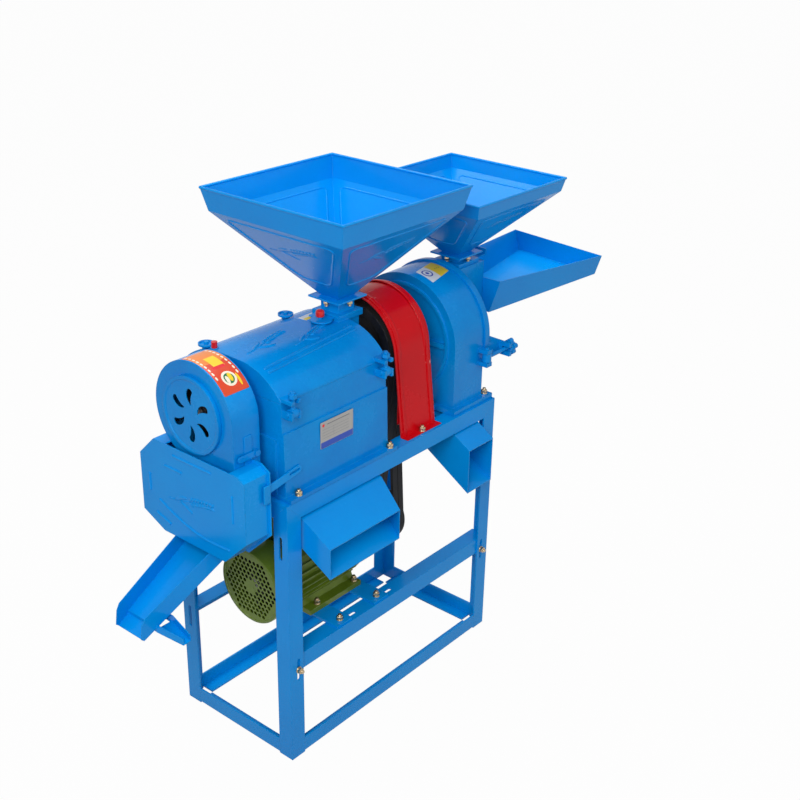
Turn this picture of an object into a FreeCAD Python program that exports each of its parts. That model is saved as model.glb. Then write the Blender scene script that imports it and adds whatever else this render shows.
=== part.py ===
import FreeCAD, Part
import math
import os
import re

import Sketcher

# A rice mill and a disc crusher stand side by side on one angle-iron stand and share one motor.
# +X runs along the stand from the blower to the crusher, +Y points to the rear, +Z is up.
# The origin lies on the floor under the middle of the stand. Lengths are in millimetres.

SIZES = {
    # stand
    "stand_length": 708,
    "stand_width": 344,
    "stand_height": 648,
    "angle_leg": 40,
    "angle_wall": 4,
    "low_angle_leg": 36,
    "low_rail_lift": 4,
    "motor_rail_lift": 227,
    "slot_length": 56,
    "slot_width": 9,
    "slot_inset": 25,
    "rail_slot_length": 64,
    "rail_slot_shift": 20,
    "low_slot_height": 234,
    "high_slot_height": 542,
    # motor
    "motor_inset": 50,
    "motor_axis_lift": 86,
    "motor_radius": 86,
    "motor_core_radius": 74,
    "motor_frame_length": 210,
    "motor_fins": 30,
    "fin_wall": 3,
    "fan_cover_length": 68,
    "fan_cover_radius": 90,
    "fan_cover_wall": 2,
    "fan_cover_fit": 0.3,
    "grille_hole_radius": 9,
    "shield_length": 20,
    "shaft_radius": 12,
    "foot_wall": 12,
    "foot_half_width": 90,
    "foot_bolt_half_width": 70,
    "foot_bolt_pitch": 125,
    "cross_bar_width": 50,
    "cross_bar_wall": 5,
    # belt drive
    "belt_top": 17,
    "belt_depth": 11,
    "belt_side_angle": 19,
    "belt_gap": 0.4,
    "groove_pitch": 19,
    "pulley_edge": 12.5,
    "mill_pulley_radius": 100,
    "mill_drive_radius": 50,
    "crusher_pulley_radius": 45,
    "crusher_drive_radius": 70,
    "mill_pulley_offset": 91,
    "crusher_pulley_offset": 91,
    "pulley_web": 12,
    "shaft_fit": 0.05,
    # belt guard
    "guard_width": 120,
    "guard_wall": 2,
    "guard_radius": 122,
    "guard_axis_lift": 185,
    "guard_half_base": 145,
    "guard_foot": 19,
    "guard_bead": 2.5,
    "guard_bead_width": 8,
    # rice mill
    "mill_inset": 15,
    "mill_length": 315,
    "mill_axis_lift": 181,
    "mill_flange_wall": 9,
    "mill_flange_half": 173,
    "mill_base_half": 156,
    "mill_waist_half": 152,
    "mill_seam_half": 147,
    "mill_waist_lift": 149,
    "mill_seam_lift": 214,
    "mill_wall": 7,
    "shoulder_half": 146,
    "cover_arch_radius": 145,
    "boss_line": 78,
    "cap_line": 51,
    "crown_half": 30,
    "crown_lift": 277,
    "nose_length": 42,
    "nose_radius": 62,
    "nose_bore": 50,
    "throat_half": 33,
    "throat_bore_half": 22,
    "throat_lift": 281,
    "cover_boss_radius": 9,
    "cover_boss_rise": 5,
    "spindle_radius": 15,
    "roller_radius": 40,
    "roller_rib": 5,
    "screen_radius": 60,
    "screen_wall": 2,
    "bearing_radius": 40,
    # mill blower and aspirator
    "blower_gap": 27,
    "blower_depth": 71,
    "blower_radius": 113,
    "blower_wall": 2,
    "outlet_width": 60,
    "impeller_radius": 92,
    "inlet_radius": 83,
    "inlet_depth": 9,
    "aspirator_reach": 17,
    "aspirator_depth": 66,
    "aspirator_wall": 2,
    "aspirator_flange": 6,
    "aspirator_half": 157,
    "aspirator_rise": 97,
    "aspirator_drop": 114,
    "aspirator_top_cut": 46,
    "aspirator_near_top_cut": 20,
    "aspirator_low_cut": 64,
    "aspirator_far_low_rise": 30,
    # outlets
    "sheet_wall": 2,
    "rice_chute_near": 44,
    "rice_chute_far": 71,
    "rice_chute_end_far": 37,
    "rice_chute_reach": 246,
    "rice_chute_wall_height": 47,
    "rice_chute_slope": 21.8,
    "rice_chute_lift": 558,
    "rice_tray_lift": 7,
    "rice_tray_inset": 30,
    "spout_inset": 190,
    "spout_half": 22,
    "spout_mouth_half": 10,
    "spout_reach": 66,
    "spout_depth": 16,
    "spout_fall": 10,
    "bran_mouth_reach": 75,
    "bran_mouth_height": 72,
    "bran_mouth_lift": 485,
    "bran_slope": 29,
    "bran_inset": 46,
    "bran_width": 247,
    "bran_mouth_width": 220,
    "crusher_mouth_reach": 41,
    "crusher_mouth_height": 113,
    "crusher_mouth_lift": 462,
    "crusher_chute_slope": 31.6,
    "crusher_chute_width": 93,
    # hoppers
    "mill_hopper_half": 202,
    "mill_hopper_lift": 562,
    "collar_height": 53,
    "collar_step": 12,
    "rim_bead": 3,
    "hopper_flange_half": 45,
    "hopper_flange_wall": 4,
    "neck_half": 25.5,
    "mill_neck_height": 32,
    "crusher_neck_height": 18,
    "tongue_radius": 24,
    "gate_wall": 3,
    "gate_gap": 0.5,
    "gate_reach": 88,
    "crusher_hopper_half": 174,
    "crusher_hopper_lift": 495,
    "crusher_collar_height": 34,
    "crusher_collar_step": 8,
    "crusher_hopper_shift": 19,
    # crusher
    "crusher_setback": 138,
    "crusher_depth": 110,
    "crusher_radius": 151,
    "crusher_axis_lift": 158,
    "crusher_foot_wall": 12,
    "crusher_foot_half": 165,
    "chamber_radius": 138,
    "face_ring_radius": 131,
    "face_recess": 8,
    "face_ring_height": 4,
    "boss_radius": 42,
    "boss_length": 58,
    "crusher_spindle_radius": 16,
    "rotor_radius": 96,
    "rotor_disc": 10,
    "claw_length": 38,
    "claw_size": 12,
    "sieve_radius": 112,
    "sieve_wall": 2.5,
    "door_radius": 156,
    "door_wall": 20,
    "feed_hole_radius": 36,
    "feed_box_length": 112,
    "feed_box_half": 46,
    "feed_box_wall": 4,
    "feed_box_lift": 293,
    # feed tray
    "tray_length": 361,
    "tray_half_width": 149,
    "tray_throat_half": 97,
    "tray_lift": 250,
    "tray_end_height": 54,
    "tray_throat_height": 86,
    "tray_flare": 3,
    "tray_turn": -6.5,
    "tray_shift": -23.5,
    # swing bolts and latch
    "swing_rod_radius": 5,
    "swing_eye_radius": 11,
    "swing_pin_radius": 4,
    "pin_fit": 0.1,
    "swing_gap": 2.5,
    "mill_swing_inset": 16,
    "mill_swing_pitch": 278,
    "mill_swing_out": 17,
    "mill_swing_lift": 196,
    "mill_lug_lift": 218,
    "door_swing_out": 168,
    "door_swing_drop": 42,
    "door_swing_back": 8,
    "door_lug_reach": 72,
    "star_radius": 20,
    "star_length": 22,
    "latch_length": 44,
    "latch_drop": 66,
    # fasteners
    "bolt_head": 7.5,
    "bolt_head_height": 6,
    "washer_radius": 8,
    "washer_wall": 1.6,
    "ring_nut_radius": 17,
    "cap_radius": 6.5,
}

# Places that follow from the sizes above.
PLACES = {
    "left_end": "-stand_length / 2",
    "right_end": "stand_length / 2",
    "half_width": "stand_width / 2",
    "motor_rail_top": "motor_rail_lift + angle_leg",
    "rail_bolt_line": "half_width - angle_leg / 2 - angle_wall",
    "motor_seat": "motor_rail_top + cross_bar_wall",
    "motor_axis": "motor_seat + motor_axis_lift",
    "motor_left": "left_end + motor_inset",
    "frame_left": "motor_left + fan_cover_length",
    "frame_right": "frame_left + motor_frame_length",
    "foot_bolt_middle": "frame_left + motor_frame_length * 0.6",
    "mill_left": "left_end + mill_inset",
    "mill_right": "mill_left + mill_length",
    "mill_axis": "stand_height + mill_axis_lift",
    "mill_seat": "stand_height + mill_flange_wall",
    "mill_waist": "stand_height + mill_waist_lift",
    "mill_seam": "stand_height + mill_seam_lift",
    "nose_right": "mill_right + nose_length",
    "throat_middle": "mill_right + 8",
    "throat_top": "stand_height + throat_lift",
    "mill_pulley_x": "mill_right + mill_pulley_offset",
    "pulley_half": "groove_pitch / 2 + pulley_edge",
    "blower_back": "mill_left - blower_gap",
    "blower_front": "blower_back - blower_depth",
    "aspirator_front": "blower_front - aspirator_reach",
    "aspirator_back": "aspirator_front + aspirator_depth",
    "spout_x": "aspirator_back - spout_inset",
    "gate_bottom": "throat_top + gate_gap",
    "tray_throat_low": "stand_height + tray_lift - tray_throat_height",
    "hopper_foot": "throat_top + gate_wall + 2 * gate_gap",
    "mill_hopper_top": "stand_height + mill_hopper_lift",
    "crusher_left": "right_end - crusher_setback",
    "crusher_right": "crusher_left + crusher_depth",
    "crusher_axis": "stand_height + crusher_axis_lift",
    "crusher_pulley_x": "crusher_left - crusher_pulley_offset",
    "door_right": "crusher_right + door_wall",
    "feed_box_right": "door_right + feed_box_length",
    "feed_box_top": "stand_height + feed_box_lift",
    "feed_neck_x": "door_right + feed_box_length * 0.54",
    "crusher_gate_bottom": "feed_box_top + gate_gap",
    "crusher_hopper_foot": "feed_box_top + gate_wall + 2 * gate_gap",
    "crusher_hopper_top": "stand_height + crusher_hopper_lift",
    "guard_x": "(mill_pulley_x + crusher_pulley_x) / 2",
    "guard_axis": "stand_height + guard_axis_lift",
    "door_swing_x": "crusher_right - door_swing_back",
    "door_swing_z": "crusher_axis - door_swing_drop",
    "lug_face": "crusher_right + door_lug_reach",
    "mill_swing_y": "-(mill_seam_half + mill_swing_out)",
    "mill_swing_z": "stand_height + mill_swing_lift",
    "mill_lug_low": "stand_height + mill_lug_lift",
    "mill_swing_left": "mill_left + mill_swing_inset",
    "mill_swing_right": "mill_left + mill_swing_inset + mill_swing_pitch",
}

doc = FreeCAD.newDocument("RiceMillAndCrusher")
sheet = doc.addObject("Spreadsheet::Sheet", "Sizes")
for row, (alias, number) in enumerate(SIZES.items(), start=1):
    sheet.set(f"A{row}", alias)
    sheet.set(f"B{row}", str(number))
    sheet.setAlias(f"B{row}", alias)
doc.recompute()

ALONG_X = FreeCAD.Rotation(FreeCAD.Vector(0, 1, 0), 90)
ALONG_Y = FreeCAD.Rotation(FreeCAD.Vector(1, 0, 0), -90)
ALONG_Z = FreeCAD.Rotation()
FACING = {
    "XY": (FreeCAD.Rotation(), FreeCAD.Vector(0, 0, 1), "z"),
    "XZ": (FreeCAD.Rotation(FreeCAD.Vector(1, 0, 0), 90), FreeCAD.Vector(0, 1, 0), "y"),
    "YZ": (FreeCAD.Rotation(FreeCAD.Vector(1, 1, 1), 120), FreeCAD.Vector(1, 0, 0), "x"),
}
NODES = {}


def full(text):
    """Write an expression with every size and place traced back to the sheet."""
    def known(match):
        word = match.group(0)
        if word in SIZES:
            return f"Sizes.{word}"
        if word in PLACES:
            return f"({full(PLACES[word])})"
        return word
    return re.sub(r"[A-Za-z_]\w*", known, str(text))


def value(text):
    """Return the present value of an expression as a number."""
    return float(str(sheet.evalExpression(full(text))).split()[0])


def bind(thing, **settings):
    """Bind properties of an object to expressions; a double underscore stands for a dot."""
    for name, text in settings.items():
        thing.setExpression(name.replace("__", "."), full(text))
    return thing


def place(thing, x="0", y="0", z="0"):
    """Bind the base point of an object's placement."""
    return bind(thing, Placement__Base__x=x, Placement__Base__y=y, Placement__Base__z=z)


def block(x, y, z):
    """Make a box from its two ends along each axis."""
    box = doc.addObject("Part::Box", "Block")
    bind(box, Length=f"({x[1]}) - ({x[0]})", Width=f"({y[1]}) - ({y[0]})", Height=f"({z[1]}) - ({z[0]})")
    return place(box, x[0], y[0], z[0])


def rod(turn, base, radius, length):
    """Make a cylinder that starts at base and runs along the turned axis."""
    cylinder = doc.addObject("Part::Cylinder", "Rod")
    cylinder.Placement = FreeCAD.Placement(FreeCAD.Vector(), turn)
    bind(cylinder, Radius=radius, Height=length)
    return place(cylinder, *base)


def ball(x, y, z, radius):
    """Make a sphere."""
    return place(bind(doc.addObject("Part::Sphere", "Ball"), Radius=radius), x, y, z)


def cut(base, *tools):
    """Take the tools away from the base."""
    result = doc.addObject("Part::Cut", "Cut")
    result.Base = base
    result.Tool = tools[0] if len(tools) == 1 else join(*tools)
    return result


def join(*parts):
    """Fuse several objects into one."""
    result = doc.addObject("Part::MultiFuse", "Join")
    result.Shapes = list(parts)
    return result


def common(first, second):
    """Keep what two objects share."""
    result = doc.addObject("Part::MultiCommon", "Common")
    result.Shapes = [first, second]
    return result


def several(*parts):
    """Keep loose solids of one kind together as one sub-part."""
    result = doc.addObject("Part::Compound", "Several")
    result.Links = list(parts)
    return result


def node(name, thing):
    """Name a finished sub-part."""
    thing.Label = name
    NODES[name] = thing
    return thing


def arc_between(start, end, radius, turn):
    """Return the short arc from start to end that turns left (+1) or right (-1)."""
    middle = (start + end) / 2
    chord = end - start
    rise = math.sqrt(max(radius ** 2 - (chord.Length / 2) ** 2, 0))
    side = FreeCAD.Vector(-chord.y, chord.x, 0).normalize() * rise * turn
    centre = middle + side
    first, last = (start, end) if turn > 0 else (end, start)
    angles = [math.atan2(point.y - centre.y, point.x - centre.x) for point in (first, last)]
    return Part.ArcOfCircle(Part.Circle(centre, FreeCAD.Vector(0, 0, 1), radius), *angles)


def outline(sketch, points):
    """Draw a closed outline. A point is (x, y), or (x, y, radius, turn) where an arc leads to the next."""
    corners = [FreeCAD.Vector(value(point[0]), value(point[1]), 0) for point in points]
    ends = []
    for index, point in enumerate(points):
        start, end = corners[index], corners[(index + 1) % len(corners)]
        if len(point) == 2:
            edge = sketch.addGeometry(Part.LineSegment(start, end))
            ends.append((edge, 1, 2))
            continue
        edge = sketch.addGeometry(arc_between(start, end, value(point[2]), point[3]))
        ends.append((edge, 1, 2) if point[3] > 0 else (edge, 2, 1))
        name = sketch.addConstraint(Sketcher.Constraint("Radius", edge, value(point[2])))
        sketch.setExpression(f"Constraints[{name}]", full(point[2]))
    for (edge, _, last), (following, first, _) in zip(ends, ends[1:] + ends[:1]):
        sketch.addConstraint(Sketcher.Constraint("Coincident", edge, last, following, first))
    for (edge, first, _), point, corner in zip(ends, points, corners):
        for kind, text, number in (("DistanceX", point[0], corner.x), ("DistanceY", point[1], corner.y)):
            name = sketch.addConstraint(Sketcher.Constraint(kind, -1, 1, edge, first, number))
            sketch.setExpression(f"Constraints[{name}]", full(text))
    return sketch


def arch(sketch, radius, axis, half_base, base):
    """Draw a round arch with two legs that leave it tangentially and a flat base."""
    top, low, wide, centre = value(radius), value(base), value(half_base), value(axis)
    reach = math.hypot(wide, centre - low)
    lean = math.atan2(low - centre, wide) + math.acos(min(top / reach, 1))
    heart = FreeCAD.Vector(0, centre, 0)
    right = heart + FreeCAD.Vector(top * math.cos(lean), top * math.sin(lean), 0)
    left = FreeCAD.Vector(-right.x, right.y, 0)
    bow = sketch.addGeometry(
        Part.ArcOfCircle(Part.Circle(heart, FreeCAD.Vector(0, 0, 1), top), lean, math.pi - lean))
    feet = [FreeCAD.Vector(-wide, low, 0), FreeCAD.Vector(wide, low, 0)]
    left_leg = sketch.addGeometry(Part.LineSegment(left, feet[0]))
    foot = sketch.addGeometry(Part.LineSegment(feet[0], feet[1]))
    right_leg = sketch.addGeometry(Part.LineSegment(feet[1], right))
    sketch.addConstraint([
        Sketcher.Constraint("Tangent", bow, 2, left_leg, 1),
        Sketcher.Constraint("Coincident", left_leg, 2, foot, 1),
        Sketcher.Constraint("Coincident", foot, 2, right_leg, 1),
        Sketcher.Constraint("Tangent", right_leg, 2, bow, 1),
        Sketcher.Constraint("PointOnObject", bow, 3, -2),
    ])
    for kind, where, number, text in (
            ("Radius", (bow,), top, radius),
            ("DistanceY", (-1, 1, bow, 3), centre, axis),
            ("DistanceX", (foot, 1, -1, 1), wide, half_base),
            ("DistanceX", (-1, 1, foot, 2), wide, half_base),
            ("DistanceY", (-1, 1, foot, 1), low, base),
            ("DistanceY", (-1, 1, foot, 2), low, base)):
        name = sketch.addConstraint(Sketcher.Constraint(kind, *where, number))
        sketch.setExpression(f"Constraints[{name}]", full(text))
    return sketch


def extrude(draw, plane, start, length, *shape):
    """Draw a sketch on a plane and extrude it along the plane's normal."""
    rotation, direction, axis = FACING[plane]
    sketch = doc.addObject("Sketcher::SketchObject", "Sketch")
    sketch.Placement = FreeCAD.Placement(FreeCAD.Vector(), rotation)
    draw(sketch, *shape)
    bind(sketch, **{f"Placement__Base__{axis}": start})
    solid = doc.addObject("Part::Extrusion", "Prism")
    solid.Base = sketch
    solid.DirMode = "Custom"
    solid.Dir = direction
    solid.Solid = True
    return bind(solid, LengthFwd=length)


def prism(plane, start, length, points):
    """Extrude a closed outline."""
    return extrude(outline, plane, start, length, points)


def mirrored(points):
    """Close an outline that is given on its right side only, from the bottom to the top."""
    left = [(f"-({x})", y) for x, y, *_ in reversed(points)]
    for index, point in enumerate(points):
        if len(point) > 2:
            twin = len(points) - 2 - index
            left[twin] = (*left[twin], *point[2:])
    return [*points, *left]


def pyramid(middle, base, height, low_half, high_half, shift="0"):
    """Make a square frustum that stands on its small end."""
    wedge = doc.addObject("Part::Wedge", "Pyramid")
    wedge.Placement = FreeCAD.Placement(FreeCAD.Vector(), FreeCAD.Rotation(FreeCAD.Vector(1, 0, 0), 90))
    wedge.Xmax, wedge.X2max, wedge.Zmax, wedge.Z2max, wedge.Ymin = 500, 500, 500, 500, 0
    bind(wedge, Xmin=f"-({low_half})", Xmax=low_half, Zmin=f"-({low_half})", Zmax=low_half, Ymax=height,
         X2min=f"({shift}) - ({high_half})", X2max=f"({shift}) + ({high_half})",
         Z2min=f"-({high_half})", Z2max=high_half)
    return place(wedge, middle, "0", base)


def angle_outline(corner, leg, sides):
    """Return the six corners of an angle section from its outer corner and the side each leg runs to."""
    (u, v), (right, up) = corner, sides
    steps = [("0", "0"), (leg, "0"), (leg, "angle_wall"), ("angle_wall", "angle_wall"),
             ("angle_wall", leg), ("0", leg)]
    return [(f"{u} + {right} * {a}", f"{v} + {up} * {b}") for a, b in steps]


class Body:
    """A PartDesign body whose sketches sit on its own origin planes."""

    def __init__(self, x="0", y="0", z="0"):
        self.body = doc.addObject("PartDesign::Body", "Body")
        place(self.body, x, y, z)
        self.axis_sketch = None

    def sketch(self, role, draw, *shape, offset="0"):
        """Draw a sketch on an origin plane, moved along its normal."""
        drawing = self.body.newObject("Sketcher::SketchObject", "Sketch")
        plane = next(item for item in self.body.Origin.OriginFeatures if item.Role == role)
        drawing.AttachmentSupport = [(plane, "")]
        drawing.MapMode = "FlatFace"
        bind(drawing, AttachmentOffset__Base__z=offset)
        draw(drawing, *shape)
        return drawing

    def turn(self, points):
        """Revolve an outline of (x, radius) points about the X axis."""
        self.axis_sketch = self.sketch("XZ_Plane", outline, points)
        feature = self.body.newObject("PartDesign::Revolution", "Turned")
        feature.Profile = self.axis_sketch
        feature.ReferenceAxis = (self.axis_sketch, ["H_Axis"])
        feature.Angle = 360
        return self

    def pad(self, length, draw, *shape, offset="0"):
        """Pad a sketch that faces along X."""
        feature = self.body.newObject("PartDesign::Pad", "Pad")
        feature.Profile = self.sketch("YZ_Plane", draw, *shape, offset=offset)
        bind(feature, Length=length)
        return feature

    def pocket(self, length, draw, *shape, offset="0"):
        """Cut a sketch that faces along X towards +X."""
        feature = self.body.newObject("PartDesign::Pocket", "Pocket")
        feature.Profile = self.sketch("YZ_Plane", draw, *shape, offset=offset)
        feature.Reversed = True
        bind(feature, Length=length)
        return feature

    def repeat(self, feature, count):
        """Repeat a feature round the X axis."""
        pattern = self.body.newObject("PartDesign::PolarPattern", "Ring")
        pattern.Originals = [feature]
        pattern.Axis = (self.axis_sketch, ["H_Axis"])
        pattern.Angle = 360
        bind(pattern, Occurrences=count)
        self.body.Tip = pattern
        return pattern


def circle(sketch, x, y, radius):
    """Draw a circle."""
    edge = sketch.addGeometry(
        Part.Circle(FreeCAD.Vector(value(x), value(y), 0), FreeCAD.Vector(0, 0, 1), value(radius)))
    for kind, where, text in (("DistanceX", (-1, 1, edge, 3), x), ("DistanceY", (-1, 1, edge, 3), y),
                              ("Radius", (edge,), radius)):
        name = sketch.addConstraint(Sketcher.Constraint(kind, *where, value(text)))
        sketch.setExpression(f"Constraints[{name}]", full(text))
    return sketch


def stadium(plane, middle, half, start, length):
    """Make an upright cutter with round ends for a slot, half = (half height, half width)."""
    u, v = middle
    rise = f"({half[0]}) - ({half[1]})"
    corners = [(f"{u} - {half[1]}", f"{v} - ({rise})"), (f"{u} + {half[1]}", f"{v} - ({rise})"),
               (f"{u} + {half[1]}", f"{v} + ({rise})"), (f"{u} - {half[1]}", f"{v} + ({rise})")]
    ends = [extrude(circle, plane, start, length, u, f"{v} {sign} ({rise})", half[1]) for sign in "+-"]
    return join(prism(plane, start, length, corners), *ends)


# stand

def make_legs():
    """Four mitred angle-iron legs with adjusting slots for the motor rails."""
    slot = ("slot_length / 2", "slot_width / 2")
    for side, x, right in (("left", "left_end", 1), ("right", "right_end", -1)):
        for end, y, back in (("front", "-half_width", 1), ("rear", "half_width", -1)):
            across = prism("XZ", f"{y} - {(1 - back) // 2} * angle_wall", "angle_wall", [
                (x, "0"), (f"{x} + {right} * angle_leg", "0"),
                (f"{x} + {right} * angle_leg", "stand_height - angle_leg"), (x, "stand_height")])
            along = prism("YZ", f"{x} - {(1 - right) // 2} * angle_wall", "angle_wall", [
                (f"{y} + {back} * angle_wall", "0"), (f"{y} + {back} * angle_leg", "0"),
                (f"{y} + {back} * angle_leg", "stand_height - angle_leg"),
                (f"{y} + {back} * angle_wall", "stand_height")])
            low = stadium("XZ", (f"{x} + {right} * slot_inset", "low_slot_height"), slot,
                          f"{y} - angle_leg", "2 * angle_leg")
            height = "high_slot_height" if end == "front" else "low_slot_height + angle_wall"
            high = stadium("YZ", (f"{y} + {back} * (slot_inset - angle_wall)", height), slot,
                           f"{x} - angle_wall * 2", "angle_wall * 4")
            node(f"leg_{end}_{side}", cut(join(across, along), low, high))


def make_top_rails():
    """Top rails with their corners mitred like a picture frame."""
    for end, y, back in (("front", "-half_width", 1), ("rear", "half_width", -1)):
        face = prism("XZ", f"{y} - {(1 - back) // 2} * angle_wall", "angle_wall", [
            ("left_end", "stand_height"), ("left_end + angle_leg", "stand_height - angle_leg"),
            ("right_end - angle_leg", "stand_height - angle_leg"), ("right_end", "stand_height")])
        top = prism("XY", "stand_height - angle_wall", "angle_wall", [
            ("left_end + angle_wall", f"{y} + {back} * angle_wall"),
            ("right_end - angle_wall", f"{y} + {back} * angle_wall"),
            ("right_end - angle_leg", f"{y} + {back} * angle_leg"),
            ("left_end + angle_leg", f"{y} + {back} * angle_leg")])
        node(f"top_rail_{end}", join(face, top))
    for side, x, right in (("left", "left_end", 1), ("right", "right_end", -1)):
        face = prism("YZ", f"{x} - {(1 - right) // 2} * angle_wall", "angle_wall", [
            ("angle_wall - half_width", "stand_height"),
            ("angle_leg - half_width", "stand_height - angle_leg"),
            ("half_width - angle_leg", "stand_height - angle_leg"),
            ("half_width - angle_wall", "stand_height")])
        top = prism("XY", "stand_height - angle_wall", "angle_wall", [
            (f"{x} + {right} * angle_wall", "angle_wall - half_width"),
            (f"{x} + {right} * angle_leg", "angle_leg - half_width"),
            (f"{x} + {right} * angle_leg", "half_width - angle_leg"),
            (f"{x} + {right} * angle_wall", "half_width - angle_wall")])
        node(f"top_rail_{side}", join(face, top))


def long_slot(middle, line):
    """Make the cutter of a slot that runs along a motor rail's top."""
    half = "rail_slot_length / 2 - slot_width / 2"
    low, depth = "motor_rail_top - 2 * angle_wall", "3 * angle_wall"
    ends = [rod(ALONG_Z, (f"{middle} {sign} ({half})", line, low), "slot_width / 2", depth) for sign in "+-"]
    body = block((f"{middle} - ({half})", f"{middle} + ({half})"),
                 (f"{line} - slot_width / 2", f"{line} + slot_width / 2"), (low, f"{low} + {depth}"))
    return join(body, *ends)


def make_low_rails():
    """Bottom rails between the legs and the two rails that carry the motor."""
    for end, y, back in (("front", "-half_width", 1), ("rear", "half_width", -1)):
        node(f"bottom_rail_{end}", prism(
            "YZ", "left_end + angle_leg", "stand_length - 2 * angle_leg",
            angle_outline((y, "low_rail_lift"), "low_angle_leg", (back, 1))))
        rail = prism("YZ", "left_end + angle_wall", "stand_length - 2 * angle_wall",
                     angle_outline((f"{y} + {back} * angle_wall", "motor_rail_top"), "angle_leg", (back, -1)))
        slots = [long_slot(f"foot_bolt_middle + {side} * foot_bolt_pitch / 2 + rail_slot_shift",
                           f"-{back} * rail_bolt_line") for side in (-1, 1)]
        node(f"motor_rail_{end}", cut(rail, *slots))
    for side, x, right in (("left", "left_end", 1), ("right", "right_end", -1)):
        node(f"bottom_rail_{side}", prism(
            "XZ", "angle_leg - half_width", "stand_width - 2 * angle_leg",
            angle_outline((x, "low_rail_lift"), "low_angle_leg", (right, 1))))


def make_cross_bars():
    """Two flat bars across the motor rails."""
    bars = []
    for side in (-1, 1):
        middle = f"foot_bolt_middle + {side} * foot_bolt_pitch / 2"
        bars.append(block(
            (f"{middle} - cross_bar_width / 2", f"{middle} + cross_bar_width / 2"),
            ("2 * angle_wall - half_width", "half_width - 2 * angle_wall"),
            ("motor_rail_top", "motor_seat")))
    node("motor_cross_bars", several(*bars))


# motor

def make_motor():
    """Finned motor frame with feet, end shields, fan, fan cover, shaft and terminal box."""
    frame = Body("frame_left", "0", "motor_axis")
    frame.turn([("0", "shaft_radius + 20"), ("motor_frame_length", "shaft_radius + 20"),
                ("motor_frame_length", "motor_core_radius"), ("0", "motor_core_radius")])
    fin = frame.pad("motor_frame_length - 20", outline, [
        ("-fin_wall / 2", "motor_core_radius - 2"), ("fin_wall / 2", "motor_core_radius - 2"),
        ("fin_wall / 2", "motor_radius"), ("-fin_wall / 2", "motor_radius")], offset="10")
    frame.repeat(fin, "motor_fins")
    foot_rise = "motor_seat + foot_wall"
    foot = prism("YZ", "frame_left + 30", "motor_frame_length - 40", mirrored([
        ("foot_half_width - 45", "motor_seat"), ("foot_half_width", "motor_seat"),
        ("foot_half_width", foot_rise), ("foot_half_width - 26", foot_rise),
        ("foot_half_width - 38", "motor_seat + motor_axis_lift * 0.5")]))
    arch_gap = block(("frame_left", "frame_right"), ("45 - foot_half_width", "foot_half_width - 45"),
                     ("motor_seat - 1", "motor_seat + 6"))
    bore = rod(ALONG_X, ("frame_left - 1", "0", "motor_axis"), "motor_core_radius - 2",
               "motor_frame_length + 2")
    node("motor_housing", join(frame.body, cut(foot, arch_gap, bore)))

    shields = []
    cover_seat = "fan_cover_radius - fan_cover_wall - fan_cover_fit"
    for start, sign, length, rim in (("frame_right", 1, "shield_length", "motor_radius - 4"),
                                     ("frame_left", -1, "8", cover_seat)):
        shield = Body(start, "0", "motor_axis")
        shield.turn([("0", "shaft_radius + shaft_fit"), (f"{sign} * {length}", "shaft_radius + shaft_fit"),
                     (f"{sign} * {length}", "36"), (f"{sign} * {length} * 0.6", "60"),
                     (f"{sign} * {length} * 0.4", rim), ("0", rim)])
        shields.append(shield.body)
    node("motor_end_shields", several(*shields))

    cover = Body("motor_left", "0", "motor_axis")
    inner = "fan_cover_radius - fan_cover_wall"
    cover.turn([("0", "0"), ("fan_cover_wall", "0"), ("fan_cover_wall", f"{inner} - 8"),
                ("fan_cover_wall + 8", inner), ("fan_cover_length", inner),
                ("fan_cover_length", "fan_cover_radius"), ("10", "fan_cover_radius"),
                ("0", "fan_cover_radius - 10")])
    for ring in (1, 2):
        hole = cover.pocket("fan_cover_wall + 1", circle, "0", f"{ring} * (fan_cover_radius - 18) / 2.3",
                            "grille_hole_radius", offset="-0.5")
        cover.repeat(hole, str(6 * ring))
    node("motor_fan_cover", cover.body)

    fan = Body("motor_left + 20", "0", "motor_axis")
    fan.turn([("0", "shaft_radius + shaft_fit"), ("36", "shaft_radius + shaft_fit"), ("36", "70"),
              ("33", "70"), ("33", "26"), ("0", "26")])
    blade = fan.pad("33", outline, [("-1.5", "24"), ("1.5", "24"), ("1.5", "72"), ("-1.5", "72")])
    fan.repeat(blade, "8")
    node("motor_fan", fan.body)

    shaft_length = "crusher_pulley_x + pulley_half + 6 - motor_left - 18"
    node("motor_shaft", rod(ALONG_X, ("motor_left + 18", "0", "motor_axis"), "shaft_radius", shaft_length))

    box_left = "frame_left + 14"
    box_low = "motor_axis + motor_radius + 1"
    neck = block((f"{box_left} + 8", f"{box_left} + 72"), ("-30", "30"),
                 ("motor_axis + motor_radius", box_low))
    body = block((box_left, f"{box_left} + 80"), ("-38", "38"), (box_low, f"{box_low} + 34"))
    lid = block((f"{box_left} - 2", f"{box_left} + 82"), ("-40", "40"),
                (f"{box_low} + 34", f"{box_low} + 40"))
    gland = rod(ALONG_Y, (f"{box_left} + 40", "38", f"{box_low} + 17"), "11", "16")
    node("terminal_box", join(neck, body, lid, gland))


# belt drive

def groove_steps(middle, rim, count=2):
    """Return rim points of V grooves, read from left to right, for a turned pulley outline."""
    top = "belt_top / 2 + belt_gap"
    low = "belt_top / 2 - belt_depth * tan(belt_side_angle) + belt_gap"
    deep = f"({rim} - belt_depth - belt_gap)"
    steps = []
    for index in range(count):
        centre = f"{middle} + {index - (count - 1) / 2} * groove_pitch"
        steps += [(f"{centre} - ({top})", rim), (f"{centre} - ({low})", deep),
                  (f"{centre} + ({low})", deep), (f"{centre} + ({top})", rim)]
    return steps


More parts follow.
